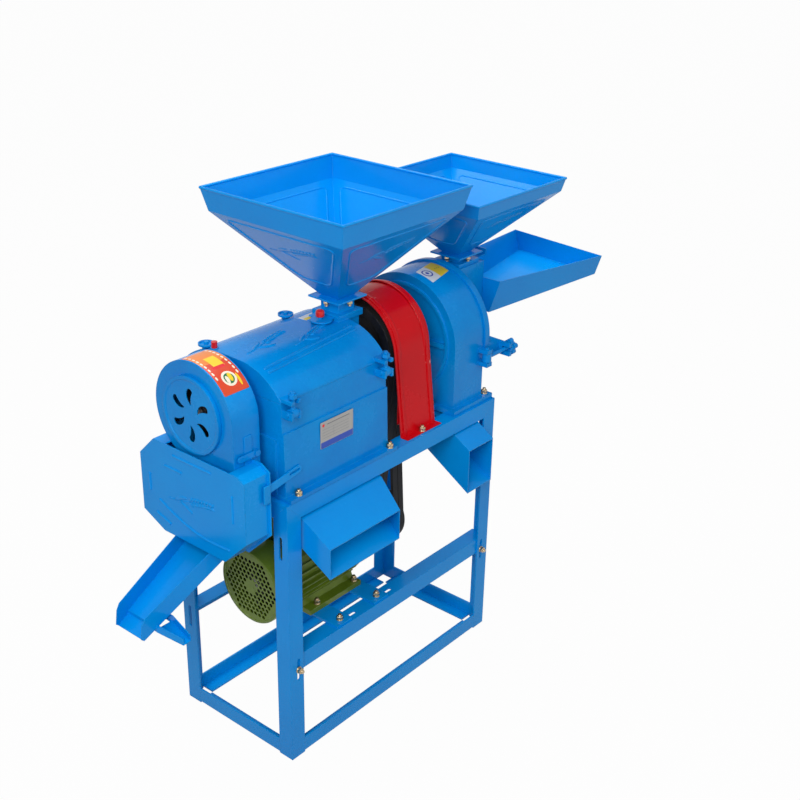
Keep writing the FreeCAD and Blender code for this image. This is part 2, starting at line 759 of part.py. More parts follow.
def make_pulley(name, x, z, radius, bore):
    """A two-groove pulley with a dished web."""
    inner = f"{radius} - belt_depth - 9"
    pulley = Body(x, "0", z)
    points = [("-pulley_half", f"{bore} + shaft_fit"), ("pulley_half", f"{bore} + shaft_fit"),
              ("pulley_half", f"{bore} + 14")]
    if value(radius) > 2 * value(f"{bore} + 20"):
        points += [("pulley_web / 2", f"{bore} + 16"), ("pulley_web / 2", f"{inner} - 2"),
                   ("pulley_half", inner)]
    points += [("pulley_half", radius), *reversed(groove_steps("0", radius)), ("-pulley_half", radius)]
    if value(radius) > 2 * value(f"{bore} + 20"):
        points += [("-pulley_half", inner), ("-pulley_web / 2", f"{inner} - 2"),
                   ("-pulley_web / 2", f"{bore} + 16")]
    points.append(("-pulley_half", f"{bore} + 14"))
    pulley.turn(points)
    node(name, pulley.body)


def make_motor_pulley():
    """One stepped pulley on the motor shaft: the small step drives the mill, the large one the crusher."""
    pulley = Body("0", "0", "motor_axis")
    left, right = "mill_pulley_x - pulley_half", "crusher_pulley_x + pulley_half"
    hub = "shaft_radius + 14"
    mill_end = "mill_pulley_x + pulley_half"
    crusher_end = "crusher_pulley_x - pulley_half"
    bore = "shaft_radius + shaft_fit"
    pulley.turn([
        (left, bore), (right, bore), (right, "crusher_drive_radius"),
        *reversed(groove_steps("crusher_pulley_x", "crusher_drive_radius")),
        (crusher_end, "crusher_drive_radius"), (crusher_end, hub), (mill_end, hub),
        (mill_end, "mill_drive_radius"),
        *reversed(groove_steps("mill_pulley_x", "mill_drive_radius")), (left, "mill_drive_radius")])
    node("motor_pulley", pulley.body)


def belt_path(sketch, drop, top_radius, low_radius):
    """Draw the loop round two pulleys: the upper one at the origin, the lower one straight below."""
    depth, high, low = value(drop), value(top_radius), value(low_radius)
    lean = math.asin((high - low) / depth)
    up = FreeCAD.Vector(0, 0, 1)
    heart = FreeCAD.Vector(0, -depth, 0)
    along = FreeCAD.Vector(math.cos(lean), -math.sin(lean), 0)
    mirror = FreeCAD.Vector(-along.x, along.y, 0)
    top = sketch.addGeometry(
        Part.ArcOfCircle(Part.Circle(FreeCAD.Vector(), up, high), -lean, math.pi + lean))
    bottom = sketch.addGeometry(
        Part.ArcOfCircle(Part.Circle(heart, up, low), math.pi + lean, 2 * math.pi - lean))
    down = sketch.addGeometry(Part.LineSegment(mirror * high, heart + mirror * low))
    rise = sketch.addGeometry(Part.LineSegment(heart + along * low, along * high))
    sketch.addConstraint([
        Sketcher.Constraint("Tangent", top, 2, down, 1),
        Sketcher.Constraint("Tangent", down, 2, bottom, 1),
        Sketcher.Constraint("Tangent", bottom, 2, rise, 1),
        Sketcher.Constraint("Tangent", rise, 2, top, 1),
        Sketcher.Constraint("Coincident", top, 3, -1, 1),
        Sketcher.Constraint("PointOnObject", bottom, 3, -2),
    ])
    for kind, where, text in (("Radius", (top,), top_radius), ("Radius", (bottom,), low_radius),
                              ("DistanceY", (bottom, 3, -1, 1), drop)):
        name = sketch.addConstraint(Sketcher.Constraint(kind, *where, value(text)))
        sketch.setExpression(f"Constraints[{name}]", full(text))
    return sketch


def make_belt(x, axis, pulley_radius, drive_radius):
    """One V belt swept round its two pulleys."""
    belt = Body(x, "0", axis)
    path = belt.sketch("YZ_Plane", belt_path, f"{axis} - motor_axis", pulley_radius, drive_radius)
    low = "belt_top / 2 - belt_depth * tan(belt_side_angle)"
    section = belt.sketch("XZ_Plane", outline, [
        (f"-({low})", f"{pulley_radius} - belt_depth"), (low, f"{pulley_radius} - belt_depth"),
        ("belt_top / 2", pulley_radius), ("-belt_top / 2", pulley_radius)])
    loop = belt.body.newObject("PartDesign::AdditivePipe", "Loop")
    loop.Profile = section
    loop.Spine = (path, ["Edge1", "Edge2", "Edge3", "Edge4"])
    return belt.body


def make_drive():
    """Pulleys and V belts."""
    make_pulley("mill_pulley", "mill_pulley_x", "mill_axis", "mill_pulley_radius", "spindle_radius")
    make_pulley("crusher_pulley", "crusher_pulley_x", "crusher_axis", "crusher_pulley_radius",
                "crusher_spindle_radius")
    make_motor_pulley()
    belts = []
    for side in (-1, 1):
        step = f"{side} * groove_pitch / 2"
        belts.append(make_belt(f"mill_pulley_x + {step}", "mill_axis", "mill_pulley_radius",
                               "mill_drive_radius"))
        belts.append(make_belt(f"crusher_pulley_x + {step}", "crusher_axis", "crusher_pulley_radius",
                               "crusher_drive_radius"))
    node("mill_drive_belts", several(belts[0], belts[2]))
    node("crusher_drive_belts", several(belts[1], belts[3]))


def make_guard():
    """Arched sheet guard over the belts, with a bead along each edge and two feet."""
    left = "guard_x - guard_width / 2"
    shape = ("guard_radius", "guard_axis", "guard_half_base", "stand_height")
    outer = extrude(arch, "YZ", left, "guard_width", *shape)
    beads = []
    for start in (f"{left} + guard_bead_width", f"{left} + guard_width - 2 * guard_bead_width"):
        beads.append(extrude(arch, "YZ", start, "guard_bead_width", "guard_radius + guard_bead",
                             "guard_axis", "guard_half_base + guard_bead", "stand_height + guard_wall"))
    room = extrude(arch, "YZ", f"{left} - 1", "guard_width + 2", "guard_radius - guard_wall", "guard_axis",
                   "guard_half_base - guard_wall", "stand_height - 1")
    feet = []
    for low, high in (("-guard_half_base - guard_foot", "guard_wall - guard_half_base"),
                      ("guard_half_base - guard_wall", "guard_half_base + guard_foot")):
        feet.append(block((left, f"{left} + guard_width"), (low, high),
                          ("stand_height", "stand_height + guard_wall")))
    node("belt_guard", join(cut(join(outer, *beads), room), *feet))


# rice mill

def mill_section(inset="0"):
    """Right half of the lower casting's section, from the flange to the seam."""
    return [(f"mill_base_half - ({inset})", "mill_seat"), (f"mill_waist_half - ({inset})", "mill_waist"),
            (f"mill_waist_half - 4 - ({inset})", "mill_waist"), (f"mill_seam_half - ({inset})", "mill_seam")]


def cover_height(across, inset="0"):
    """Height of the cover's arched top at a distance from the middle."""
    radius = f"(cover_arch_radius - ({inset}))"
    return (f"stand_height + crown_lift - cover_arch_radius"
            f" + sqrt({radius} ^ 2 - ({across} - crown_half) ^ 2)")


def cover_section(inset="0"):
    """Right half of the cover's section, from the seam over the arch to the crown."""
    side = f"shoulder_half - ({inset})"
    return [(f"mill_seam_half - ({inset})", "mill_seam"),
            (side, cover_height(side, inset), f"cover_arch_radius - ({inset})", 1),
            ("crown_half", f"stand_height + crown_lift - ({inset})")]


def mill_ears(x):
    """Ears on the mill's lower casting with a pin for one swing bolt."""
    ears = []
    for low, high in (("-14", "-8"), ("8", "14")):
        ears.append(block((f"{x} + {low}", f"{x} + {high}"),
                          ("mill_swing_y - swing_eye_radius", "4 - mill_seam_half"),
                          ("mill_swing_z - swing_eye_radius", "mill_swing_z + 6")))
    pin = rod(ALONG_X, (f"{x} - 17", "mill_swing_y", "mill_swing_z"), "swing_pin_radius", "34")
    return [*ears, pin]


def make_mill_body():
    """Lower casting of the rice mill: flanged box with the milling chamber and the round feed end."""
    flange = block(("mill_left - 3", "mill_right + 13"), ("-mill_flange_half", "mill_flange_half"),
                   ("stand_height", "mill_seat"))
    shell = prism("YZ", "mill_left", "mill_length", mirrored(mill_section()))
    skirt = block(("mill_left - 4", "mill_left"), ("24 - mill_base_half", "mill_base_half - 24"),
                  ("mill_seat", "stand_height + mill_waist_lift - 16"))
    room = prism("YZ", "mill_left + mill_wall", "mill_length - 2 * mill_wall", mirrored([
        ("mill_base_half - mill_wall - 12", "stand_height - 1"), *mill_section("mill_wall")[:2],
        ("mill_seam_half - mill_wall", "mill_seam + 1")]))
    saddles = []
    for start in ("mill_left + 40", "mill_left + 245"):
        saddles.append(block((start, f"{start} + 5"),
                             ("mill_wall - mill_waist_half", "mill_waist_half - mill_wall"),
                             ("mill_seat", "mill_axis")))
    saddle_bore = rod(ALONG_X, ("mill_left + 30", "0", "mill_axis"), "screen_radius", "230")
    nose = common(
        rod(ALONG_X, ("mill_right", "0", "mill_axis"), "nose_radius", "nose_length"),
        block(("mill_right", "nose_right"), ("-nose_radius - 1", "nose_radius + 1"),
              ("mill_axis - nose_radius - 1", "mill_seam")))
    nose_bore = rod(ALONG_X, ("mill_right - mill_wall - 1", "0", "mill_axis"), "nose_bore",
                    "nose_length + mill_wall - 6")
    spindle_bore = rod(ALONG_X, ("mill_left - 6", "0", "mill_axis"), "spindle_radius + 6",
                       "mill_length + nose_length + 12")
    shell = cut(join(flange, shell, skirt), room)
    ears = [ear for x in ("mill_swing_left", "mill_swing_right") for ear in mill_ears(x)]
    body = cut(join(shell, *[cut(saddle, saddle_bore) for saddle in saddles], nose), nose_bore, spindle_bore)
    node("mill_body", join(body, *ears))


def gate_guides(middle, low, high):
    """Two strips that guide a feed gate between its seat and the hopper's foot."""
    ends = (f"{middle} - throat_half - 6", f"{middle} + throat_half + 6")
    return [block(ends, ("-throat_half - 6", "-neck_half - gate_gap"), (low, high)),
            block(ends, ("neck_half + gate_gap", "throat_half + 6"), (low, high))]


def cover_bosses():
    """Centre and top of the flat bosses on the cover: two for ring nuts and one for the filler cap."""
    ring_top = f"{cover_height('boss_line')} + cover_boss_rise"
    return [("mill_left + 12", "boss_line", ring_top), ("mill_left + 241", "boss_line", ring_top),
            ("mill_left + 10", "cap_line", f"{cover_height('cap_line')} + 2")]


def make_mill_cover():
    """Upper casting of the rice mill with the feed throat and the slotted lugs of the swing bolts."""
    shell = prism("YZ", "mill_left", "mill_length", mirrored(cover_section()))
    room = prism("YZ", "mill_left + mill_wall", "mill_length - 2 * mill_wall", mirrored([
        ("mill_seam_half - mill_wall", "mill_seam - 1"), *cover_section("mill_wall")[1:]]))
    cap = common(
        rod(ALONG_X, ("mill_right", "0", "mill_axis"), "nose_radius", "nose_length"),
        block(("mill_right", "nose_right"), ("-nose_radius - 1", "nose_radius + 1"),
              ("mill_seam", "mill_axis + nose_radius + 1")))
    throat = block(("throat_middle - throat_half", "throat_middle + throat_half"),
                   ("-throat_half", "throat_half"), ("mill_seam", "throat_top"))
    plate = block(("throat_middle - throat_half - 6", "throat_middle + throat_half + 6"),
                  ("-throat_half - 6", "throat_half + 6"), ("throat_top - 6", "throat_top"))
    guides = gate_guides("throat_middle", "throat_top", "hopper_foot")
    bore = block(("throat_middle - throat_bore_half", "throat_middle + throat_bore_half"),
                 ("-throat_bore_half", "throat_bore_half"), ("mill_seam - 1", "throat_top + 1"))
    screw_room = rod(ALONG_X, ("throat_middle - throat_half - 1", "0", "mill_axis"), "nose_bore",
                     "nose_right - 5 - throat_middle + throat_half")
    lugs = []
    for x in ("mill_swing_left", "mill_swing_right"):
        lug = block((f"{x} - 14", f"{x} + 14"), ("mill_swing_y - 10", "9 - mill_seam_half"),
                    ("mill_lug_low", "mill_lug_low + 8"))
        slot = block((f"{x} - swing_rod_radius - 1", f"{x} + swing_rod_radius + 1"),
                     ("mill_swing_y - 12", "mill_swing_y + swing_rod_radius + 1"),
                     ("mill_lug_low - 1", "mill_lug_low + 9"))
        lugs.append(cut(lug, slot))
    bosses = [rod(ALONG_Z, (x, y, f"{top} - 16"), "cover_boss_radius", "16") for x, y, top in cover_bosses()]
    shell = cut(shell, room)
    node("mill_cover", join(cut(join(shell, cap, throat, plate, *bosses), bore, screw_room), *guides, *lugs))


def make_mill_inside():
    """Spindle, milling roller with its feed screw, and the screen under the roller."""
    bore = "spindle_radius + shaft_fit"
    left = Body("blower_back", "0", "mill_axis")
    left.turn([("0", bore), ("blower_gap", bore), ("blower_gap", "bearing_radius"), ("0", "bearing_radius")])
    right = Body("nose_right", "0", "mill_axis")
    right.turn([("0", bore), ("24", bore), ("24", "bearing_radius - 6"), ("8", "bearing_radius - 6"),
                ("8", "bearing_radius + 14"), ("0", "bearing_radius + 14")])
    node("mill_bearings", several(left.body, right.body))
    spindle_left = "blower_front + 12"
    node("mill_spindle", rod(ALONG_X, (spindle_left, "0", "mill_axis"), "spindle_radius",
                             f"mill_pulley_x + pulley_half + 8 - ({spindle_left})"))

    roller = Body("mill_left + 48", "0", "mill_axis")
    roller.turn([("0", bore), ("mill_length - 20", bore), ("mill_length - 20", "roller_radius - 14"),
                 ("200", "roller_radius - 14"), ("196", "roller_radius"), ("0", "roller_radius")])
    rib = roller.pad("190", outline, [
        ("-4", "roller_radius - 2"), ("4", "roller_radius - 2"), ("4", "roller_radius + roller_rib"),
        ("-4", "roller_radius + roller_rib")], offset="2")
    roller.repeat(rib, "4")
    flights = []
    for index in range(4):
        flight = Body(f"mill_left + 252 + {index} * 24", "0", "mill_axis")
        flight.turn([("0", "roller_radius - 15"), ("6", "roller_radius - 15"),
                     ("6", "roller_radius + roller_rib"), ("0", "roller_radius + roller_rib")])
        flights.append(flight.body)
    node("milling_roller", join(roller.body, *flights))

    screen = cut(rod(ALONG_X, ("mill_left + 45", "0", "mill_axis"), "screen_radius", "200"),
                 rod(ALONG_X, ("mill_left + 44", "0", "mill_axis"), "screen_radius - screen_wall", "202"),
                 block(("mill_left + 44", "mill_left + 246"), ("-screen_radius - 1", "screen_radius + 1"),
                       ("mill_axis", "mill_axis + screen_radius + 1")))
    node("mill_screen", screen)


# blower and aspirator

def comma(sketch, angle_radius, head, tail):
    """Draw one comma-shaped slot: a round head that runs out into a curved tail."""
    outline(sketch, [
        (f"-{head}", angle_radius, f"{head} * 1.02", -1), (head, angle_radius, f"{tail} * 0.75", -1),
        (f"-{head} * 0.4", f"{angle_radius} - {tail}", f"{tail} * 1.3", 1)])
    return sketch


def make_blower():
    """Round blower casing with its outlet leg, the impeller and the slotted inlet cover."""
    outer = join(
        rod(ALONG_X, ("blower_front", "0", "mill_axis"), "blower_radius", "blower_depth"),
        block(("blower_front", "blower_back"), ("-blower_radius", "outlet_width - blower_radius"),
              ("mill_axis - blower_radius + 8", "mill_axis")))
    inner = join(
        rod(ALONG_X, ("blower_front + blower_wall", "0", "mill_axis"), "blower_radius - blower_wall",
            "blower_depth - 2 * blower_wall"),
        block(("blower_front + blower_wall", "blower_back - blower_wall"),
              ("blower_wall - blower_radius", "outlet_width - blower_radius - blower_wall"),
              ("mill_axis - blower_radius + 7", "mill_axis")))
    inlet = rod(ALONG_X, ("blower_front - 1", "0", "mill_axis"), "inlet_radius - 13", "blower_wall + 2")
    shaft_hole = rod(ALONG_X, ("blower_back - blower_wall - 1", "0", "mill_axis"), "spindle_radius + 4",
                     "blower_wall + 2")
    pivot_x, pivot_z = "blower_front + (blower_depth + latch_length) / 2", "mill_axis - latch_drop"
    face = "-blower_radius"
    pivot = [rod(ALONG_Y, (pivot_x, f"{face} - 9", pivot_z), "swing_pin_radius", "9"),
             rod(ALONG_Y, (pivot_x, f"{face} - 9", pivot_z), "7", "2.5"),
             rod(ALONG_Y, (pivot_x, f"{face} - 2.5", pivot_z), "7", "2.5")]
    node("blower_casing", join(cut(outer, inner, inlet, shaft_hole), *pivot))

    impeller = Body("blower_front + 12", "0", "mill_axis")
    impeller.turn([("0", "spindle_radius + shaft_fit"), ("44", "spindle_radius + shaft_fit"),
                   ("44", "impeller_radius"), ("41", "impeller_radius"), ("41", "30"), ("0", "24")])
    blade = impeller.pad("40", outline, [("-1.5", "22"), ("1.5", "22"), ("1.5", "impeller_radius"),
                                         ("-1.5", "impeller_radius")], offset="2")
    impeller.repeat(blade, "6")
    node("blower_impeller", impeller.body)

    cover = Body("blower_front - inlet_depth", "0", "mill_axis")
    cover.turn([("2", "0"), ("4", "0"), ("4", "inlet_radius - 10"), ("inlet_depth", "inlet_radius - 10"),
                ("inlet_depth", "inlet_radius"), ("0", "inlet_radius"), ("0", "inlet_radius - 7"),
                ("2", "inlet_radius - 9")])
    slot = cover.pocket("4", comma, "inlet_radius * 0.62", "8", "30", offset="0.5")
    cover.repeat(slot, "6")
    node("blower_inlet_cover", cover.body)

    tip_x = f"{pivot_x} - latch_length"
    back = f"{face} - 6.25"
    lever = block((tip_x, pivot_x), (back, f"{back} + 3.5"), (f"{pivot_z} - 7", f"{pivot_z} + 7"))
    ends = [rod(ALONG_Y, (x, back, pivot_z), "7", "3.5") for x in (tip_x, pivot_x)]
    hole = rod(ALONG_Y, (pivot_x, f"{back} - 1", pivot_z), "swing_pin_radius + pin_fit", "6")
    node("casing_latch", cut(join(lever, *ends), hole))


def aspirator_outline(inset="0"):
    """Eight-sided outline of the aspirator box in (y, z)."""
    far, near = "aspirator_half", "-aspirator_half"
    top, low = "aspirator_rise", "-aspirator_drop"
    corners = [
        (f"{far} - aspirator_low_cut", low, -0.5, 1), (far, f"{low} + aspirator_far_low_rise", -1, 0.5),
        (far, f"{top} - aspirator_top_cut", -1, -0.5), (f"{far} - aspirator_top_cut", top, -0.5, -1),
        (f"{near} + aspirator_near_top_cut", top, 0.5, -1),
        (near, f"{top} - aspirator_near_top_cut / 2", 1, -0.5),
        (near, f"{low} + aspirator_low_cut", 1, 0.5), (f"{near} + aspirator_low_cut", low, 0.5, 1)]
    return [(f"{y} + {right} * ({inset})", f"stand_height + {z} + {up} * ({inset})")
            for y, z, right, up in corners]


def make_aspirator():
    """Sheet aspirator box hung round the blower outlet, with its stamped front cover."""
    fitted = join(
        rod(ALONG_X, ("aspirator_front - 1", "0", "mill_axis"), "blower_radius + 1", "aspirator_depth + 2"),
        block(("aspirator_front - 1", "aspirator_back + 1"),
              ("-blower_radius - 1", "outlet_width + 1 - blower_radius"),
              ("mill_axis - blower_radius + 7", "mill_axis")))
    band = prism("YZ", "aspirator_front + aspirator_wall", "aspirator_depth - aspirator_wall",
                 aspirator_outline())
    rear = prism("YZ", "aspirator_back - 3", "3", aspirator_outline("-aspirator_flange"))
    room = prism("YZ", "aspirator_front", "aspirator_depth - aspirator_wall",
                 aspirator_outline("aspirator_wall"))
    way = block(("aspirator_front", "aspirator_back - aspirator_wall"),
                ("-rice_chute_near - 1", "rice_chute_far + 1"),
                ("rice_chute_lift - rice_chute_wall_height - 14", "rice_chute_lift + 1"))
    node("aspirator_box", cut(join(band, rear), room, fitted, way))
    node("aspirator_cover", prism("YZ", "aspirator_front", "aspirator_wall",
                                  aspirator_outline()))
    near, wall = "-mill_base_half - 2", "2.8"
    tip, rise = "mill_left + 36", "mill_seat + 53"
    strap = prism("XZ", near, wall, [
        ("aspirator_back", "mill_seat + 31"), (tip, f"{rise} - 9"), (tip, f"{rise} + 9"),
        ("aspirator_back", "mill_seat + 49")])
    head = rod(ALONG_Y, (tip, near, rise), "9", wall)
    slot = [rod(ALONG_Y, (f"{tip} - {back}", "-mill_base_half - 3", f"{rise} - {back} * 0.08"), "slot_width / 3", "5")
            for back in range(0, 25, 3)]
    strap = cut(join(strap, head), *slot)
    node("brace_strap", strap)


# outlets

def spout_form(inset, low, high):
    """Funnel of the broken-rice spout: wide under the chute, narrow at its outer end, open at the top."""
    plan = prism("XY", "rice_chute_lift - 260", "260", [
        (f"spout_x - spout_half + {inset}", "24 - rice_chute_near - " + inset),
        (f"spout_x - spout_half + {inset}", "-rice_chute_near"),
        (f"spout_x - spout_mouth_half + {inset}", f"-rice_chute_near - spout_reach - {inset}"),
        (f"spout_x + spout_mouth_half - {inset}", f"-rice_chute_near - spout_reach - {inset}"),
        (f"spout_x + spout_half - {inset}", "-rice_chute_near"),
        (f"spout_x + spout_half - {inset}", "24 - rice_chute_near - " + inset)])
    near, far = "-rice_chute_near - spout_reach - 3", "25 - rice_chute_near"
    side = prism("YZ", "spout_x - spout_half - 1", "2 * spout_half + 2", [
        (near, f"{low} - spout_fall"), (far, low), (far, high), ("-rice_chute_near", high),
        (near, f"{high} - spout_fall")])
    return common(plan, side)


def chute_plan(inset, start, end, low, high):
    """Plan of the rice chute between two heights: straight on the near side, narrowing on the far side."""
    narrow = "(rice_chute_far - rice_chute_end_far) / rice_chute_reach"
    far_start = f"rice_chute_end_far + {narrow} * (({start}) - aspirator_back + rice_chute_reach) - {inset}"
    far_end = f"rice_chute_end_far + {narrow} * (({end}) - aspirator_back + rice_chute_reach) - {inset}"
    near = f"{inset} - rice_chute_near"
    corners = [(end, near), (start, near), (start, far_start), (end, far_end)]
    return prism("XY", low, f"({high}) - ({low})", corners)


def make_rice_chute():
    """Sloping rice chute with its raised screen tray and the broken-rice spout."""
    fall = "tan(rice_chute_slope)"
    start = "aspirator_back - aspirator_wall"
    end = "aspirator_back - rice_chute_reach"
    base = "rice_chute_lift - rice_chute_wall_height"
    low = f"{base} - rice_chute_reach * {fall}"
    top_end = f"rice_chute_lift - rice_chute_reach * {fall}"
    width = ("-rice_chute_near - 1", "rice_chute_near + rice_chute_far + 2")
    side = prism("XZ", *width, [
        (start, "rice_chute_lift"), (f"{end} + 8", f"{top_end} + 8 * {fall}"), (end, f"{top_end} - 9"),
        (f"{end} - 5", f"{low} + 6"), (f"{end} + 2", low), (start, base)])
    outer = common(side, chute_plan("0", start, f"{end} - 6", f"{low} - 2", "rice_chute_lift + 1"))
    lift = "sheet_wall / cos(rice_chute_slope)"
    over = prism("XZ", *width, [
        (f"{start} + 1", "rice_chute_lift + 40"), (f"{end} - 30", "rice_chute_lift + 40"),
        (f"{end} - 30", f"{low} + {lift} - 30 * {fall}"), (f"{start} + 1", f"{base} + {lift} + {fall}")])
    room = common(over, chute_plan("sheet_wall", f"{start} + 2", f"{end} - 32", f"{low} - 20",
                                   "rice_chute_lift + 2"))
    tray_end = f"{end} + rice_tray_inset"
    tray_base = f"{base} + rice_tray_lift"
    tray_low = f"{tray_base} - (rice_chute_reach - rice_tray_inset) * {fall}"
    tray = common(
        prism("XZ", *width, [(start, f"{tray_base} + {lift}"), (tray_end, f"{tray_low} + {lift}"),
                             (tray_end, f"{tray_low} - rice_tray_lift + 1"),
                             (f"{tray_end} + 3", f"{tray_low} - 1"),
                             (f"{tray_end} + 3", f"{tray_low} + 3 * {fall}"), (start, tray_base)]),
        chute_plan("1", start, f"{tray_end} - 1", f"{tray_low} - 30", "rice_chute_lift"))
    floor = f"{base} - (aspirator_back - spout_x) * {fall}"
    spout_low, spout_top = f"{floor} - spout_depth", f"{floor} - 1"
    spout = spout_form("0", spout_low, spout_top)
    hollow = spout_form("sheet_wall", f"{spout_low} + sheet_wall", f"{spout_top} + 6")
    slit = block(("spout_x - spout_half + 4", "spout_x + spout_half - 4"),
                 ("6 - rice_chute_near", "20 - rice_chute_near"), (f"{floor} - 20", f"{floor} + 8"))
    node("rice_chute", join(cut(join(cut(outer, room), cut(spout, hollow)), slit), tray))


def sloping_duct(left, width, mouth_width, reach, mouth, slope):
    """Make a sheet duct that slopes forward from under the stand's top to a mouth in front of it."""
    fall = f"tan({slope})"
    front = f"-half_width - {reach}"
    low, high = mouth
    points = [(front, low), (f"{front} + (stand_height - ({low})) / {fall}", "stand_height"),
              (f"{front} + (stand_height - ({high})) / {fall}", "stand_height"), (front, high)]
    side = prism("YZ", left, width, points)
    drop = f"sheet_wall / cos({slope})"
    inner_points = [
        (f"{front} - 1", f"{low} + {drop} - {fall}"),
        (f"{front} + (stand_height + 1 - ({low}) - {drop}) / {fall}", "stand_height + 1"),
        (f"{front} + (stand_height + 1 - ({high}) + {drop}) / {fall}", "stand_height + 1"),
        (f"{front} - 1", f"{high} - {drop} - {fall}")]
    inner = prism("YZ", f"{left} + sheet_wall", f"{width} - 2 * sheet_wall", inner_points)

    def plan(inset):
        """Plan outline that narrows towards the mouth."""
        right = f"{left} + {width} - {inset}"
        mouth_right = f"{left} + {mouth_width} - {inset}"
        rear = "half_width + 60"
        return prism("XY", "stand_height - 240", "300", [
            (f"{left} + {inset}", f"{front} - 2"), (mouth_right, f"{front} - 2"),
            (right, "-half_width"), (right, rear), (f"{left} + {inset}", rear)])

    return cut(common(side, plan("0")), common(inner, plan("sheet_wall")))


def make_ducts():
    """Bran chute under the mill and meal chute under the crusher."""
    left = "left_end + bran_inset"
    bran = sloping_duct(left, "bran_width", "bran_mouth_width", "bran_mouth_reach",
                        ("bran_mouth_lift", "bran_mouth_lift + bran_mouth_height"), "bran_slope")
    rail_under = "stand_height - angle_wall"
    hangers = [block(("left_end + angle_leg - 14", f"{left} + 1"), (f"{y} - 12", f"{y} + 12"),
                     (f"{rail_under} - 3", rail_under)) for y in ("-44", "16")]
    hanger_y = "angle_leg - half_width - 6"
    run = f"({hanger_y} + half_width + bran_mouth_reach)"
    roof = f"bran_mouth_lift + bran_mouth_height + {run} * tan(bran_slope)"
    for x in ("40", "bran_mouth_width - 60"):
        hangers.append(block((f"{left} + {x}", f"{left} + {x} + 20"), (f"{hanger_y} - 3", hanger_y),
                             (f"{roof} - 2.5", rail_under)))
    node("bran_chute", join(bran, *hangers))
    node("crusher_chute", sloping_duct(
        "crusher_left - 12", "crusher_chute_width", "crusher_chute_width", "crusher_mouth_reach",
        ("crusher_mouth_lift", "crusher_mouth_lift + crusher_mouth_height"), "crusher_chute_slope"))


# hoppers

def make_hopper(name, middle, foot, neck_height, top, half, collar, step, shift):
    """Square hopper: flanged neck, sloping sides, flared collar and rolled rim."""
    seat = f"{foot} + hopper_flange_wall + {neck_height}"
    collar_low = f"{top} - {collar}"
    flare = f"{half} - {step}"
    lean = f"(({flare} - neck_half) / ({collar_low} - ({seat})))"
    inset = f"sheet_wall * sqrt(1 + {lean} ^ 2)"
    outer = pyramid(middle, seat, f"{collar_low} - ({seat})", "neck_half", flare, shift)
    inner = pyramid(middle, seat, f"{collar_low} - ({seat})", f"neck_half - {inset}",
                    f"{flare} - {inset}", shift)
    rim_x = f"{middle} + {shift}"
    collar_outer = pyramid(rim_x, collar_low, collar, flare, half)
    collar_inner = pyramid(rim_x, collar_low, collar, f"{flare} - {inset}", f"{half} - sheet_wall")
    rim_z = f"{top} - rim_bead"
    spread = f"({half} - rim_bead / 2)"
    run = f"2 * {spread}"
    rim = []
    for side in (-1, 1):
        rim.append(rod(ALONG_X, (f"{rim_x} - {spread}", f"{side} * {spread}", rim_z), "rim_bead", run))
        rim.append(rod(ALONG_Y, (f"{rim_x} + {side} * {spread}", f"-{spread}", rim_z), "rim_bead", run))
        for back in (-1, 1):
            rim.append(ball(f"{rim_x} + {side} * {spread}", f"{back} * {spread}", rim_z, "rim_bead"))
    foot_plate = block((f"{middle} - throat_half - 6", f"{middle} + throat_half + 6"),
                       ("-throat_half - 6", "throat_half + 6"), (foot, f"{foot} + hopper_flange_wall"))
    neck = block((f"{middle} - neck_half", f"{middle} + neck_half"), ("-neck_half", "neck_half"),
                 (f"{foot} + hopper_flange_wall", seat))
    plate = block((f"{middle} - hopper_flange_half", f"{middle} + hopper_flange_half"),
                  ("-hopper_flange_half", "hopper_flange_half"), (f"{seat} - hopper_flange_wall", seat))
    bore = block((f"{middle} - throat_bore_half", f"{middle} + throat_bore_half"),
                 ("-throat_bore_half", "throat_bore_half"), (f"{foot} - 1", f"{seat} + 20"))
    walls = cut(join(outer, collar_outer), inner, collar_inner)
    node(name, cut(join(walls, *rim, foot_plate, neck, plate), bore))


def make_gates():
    """Sliding feed gates: the mill's pulls out to the left, the crusher's to the right."""
    left = "throat_middle - gate_reach"
    mill = block((f"{left} + tongue_radius", "throat_middle + neck_half"), ("-neck_half", "neck_half"),
                 ("gate_bottom", "gate_bottom + gate_wall"))
    tongue = rod(ALONG_Z, (f"{left} + tongue_radius", "-12", "gate_bottom"), "tongue_radius", "gate_wall")
    stem = rod(ALONG_Z, (f"{left} + tongue_radius", "-8", "gate_bottom + gate_wall"), "4", "6")
    knob = rod(ALONG_Z, (f"{left} + tongue_radius", "-8", "gate_bottom + gate_wall + 5"), "8", "13")
    node("mill_feed_gate", join(mill, tongue, stem, knob))
    right = "feed_neck_x + gate_reach"
    crusher = block(("feed_neck_x - neck_half", right), ("-neck_half", "neck_half"),
                    ("crusher_gate_bottom", "crusher_gate_bottom + gate_wall"))
    lip = block((f"{right} - 3", right), ("-neck_half", "neck_half"),
                ("crusher_gate_bottom", "crusher_gate_bottom + 16"))
    node("crusher_feed_gate", join(crusher, lip))


# crusher

def crusher_bolts():
    """Places of the bolts in the crusher's foot on the +Y side: by the face and by the door."""
    return [("crusher_left - 13", "crusher_foot_half - 69"), ("crusher_right + 12", "crusher_foot_half - 14")]


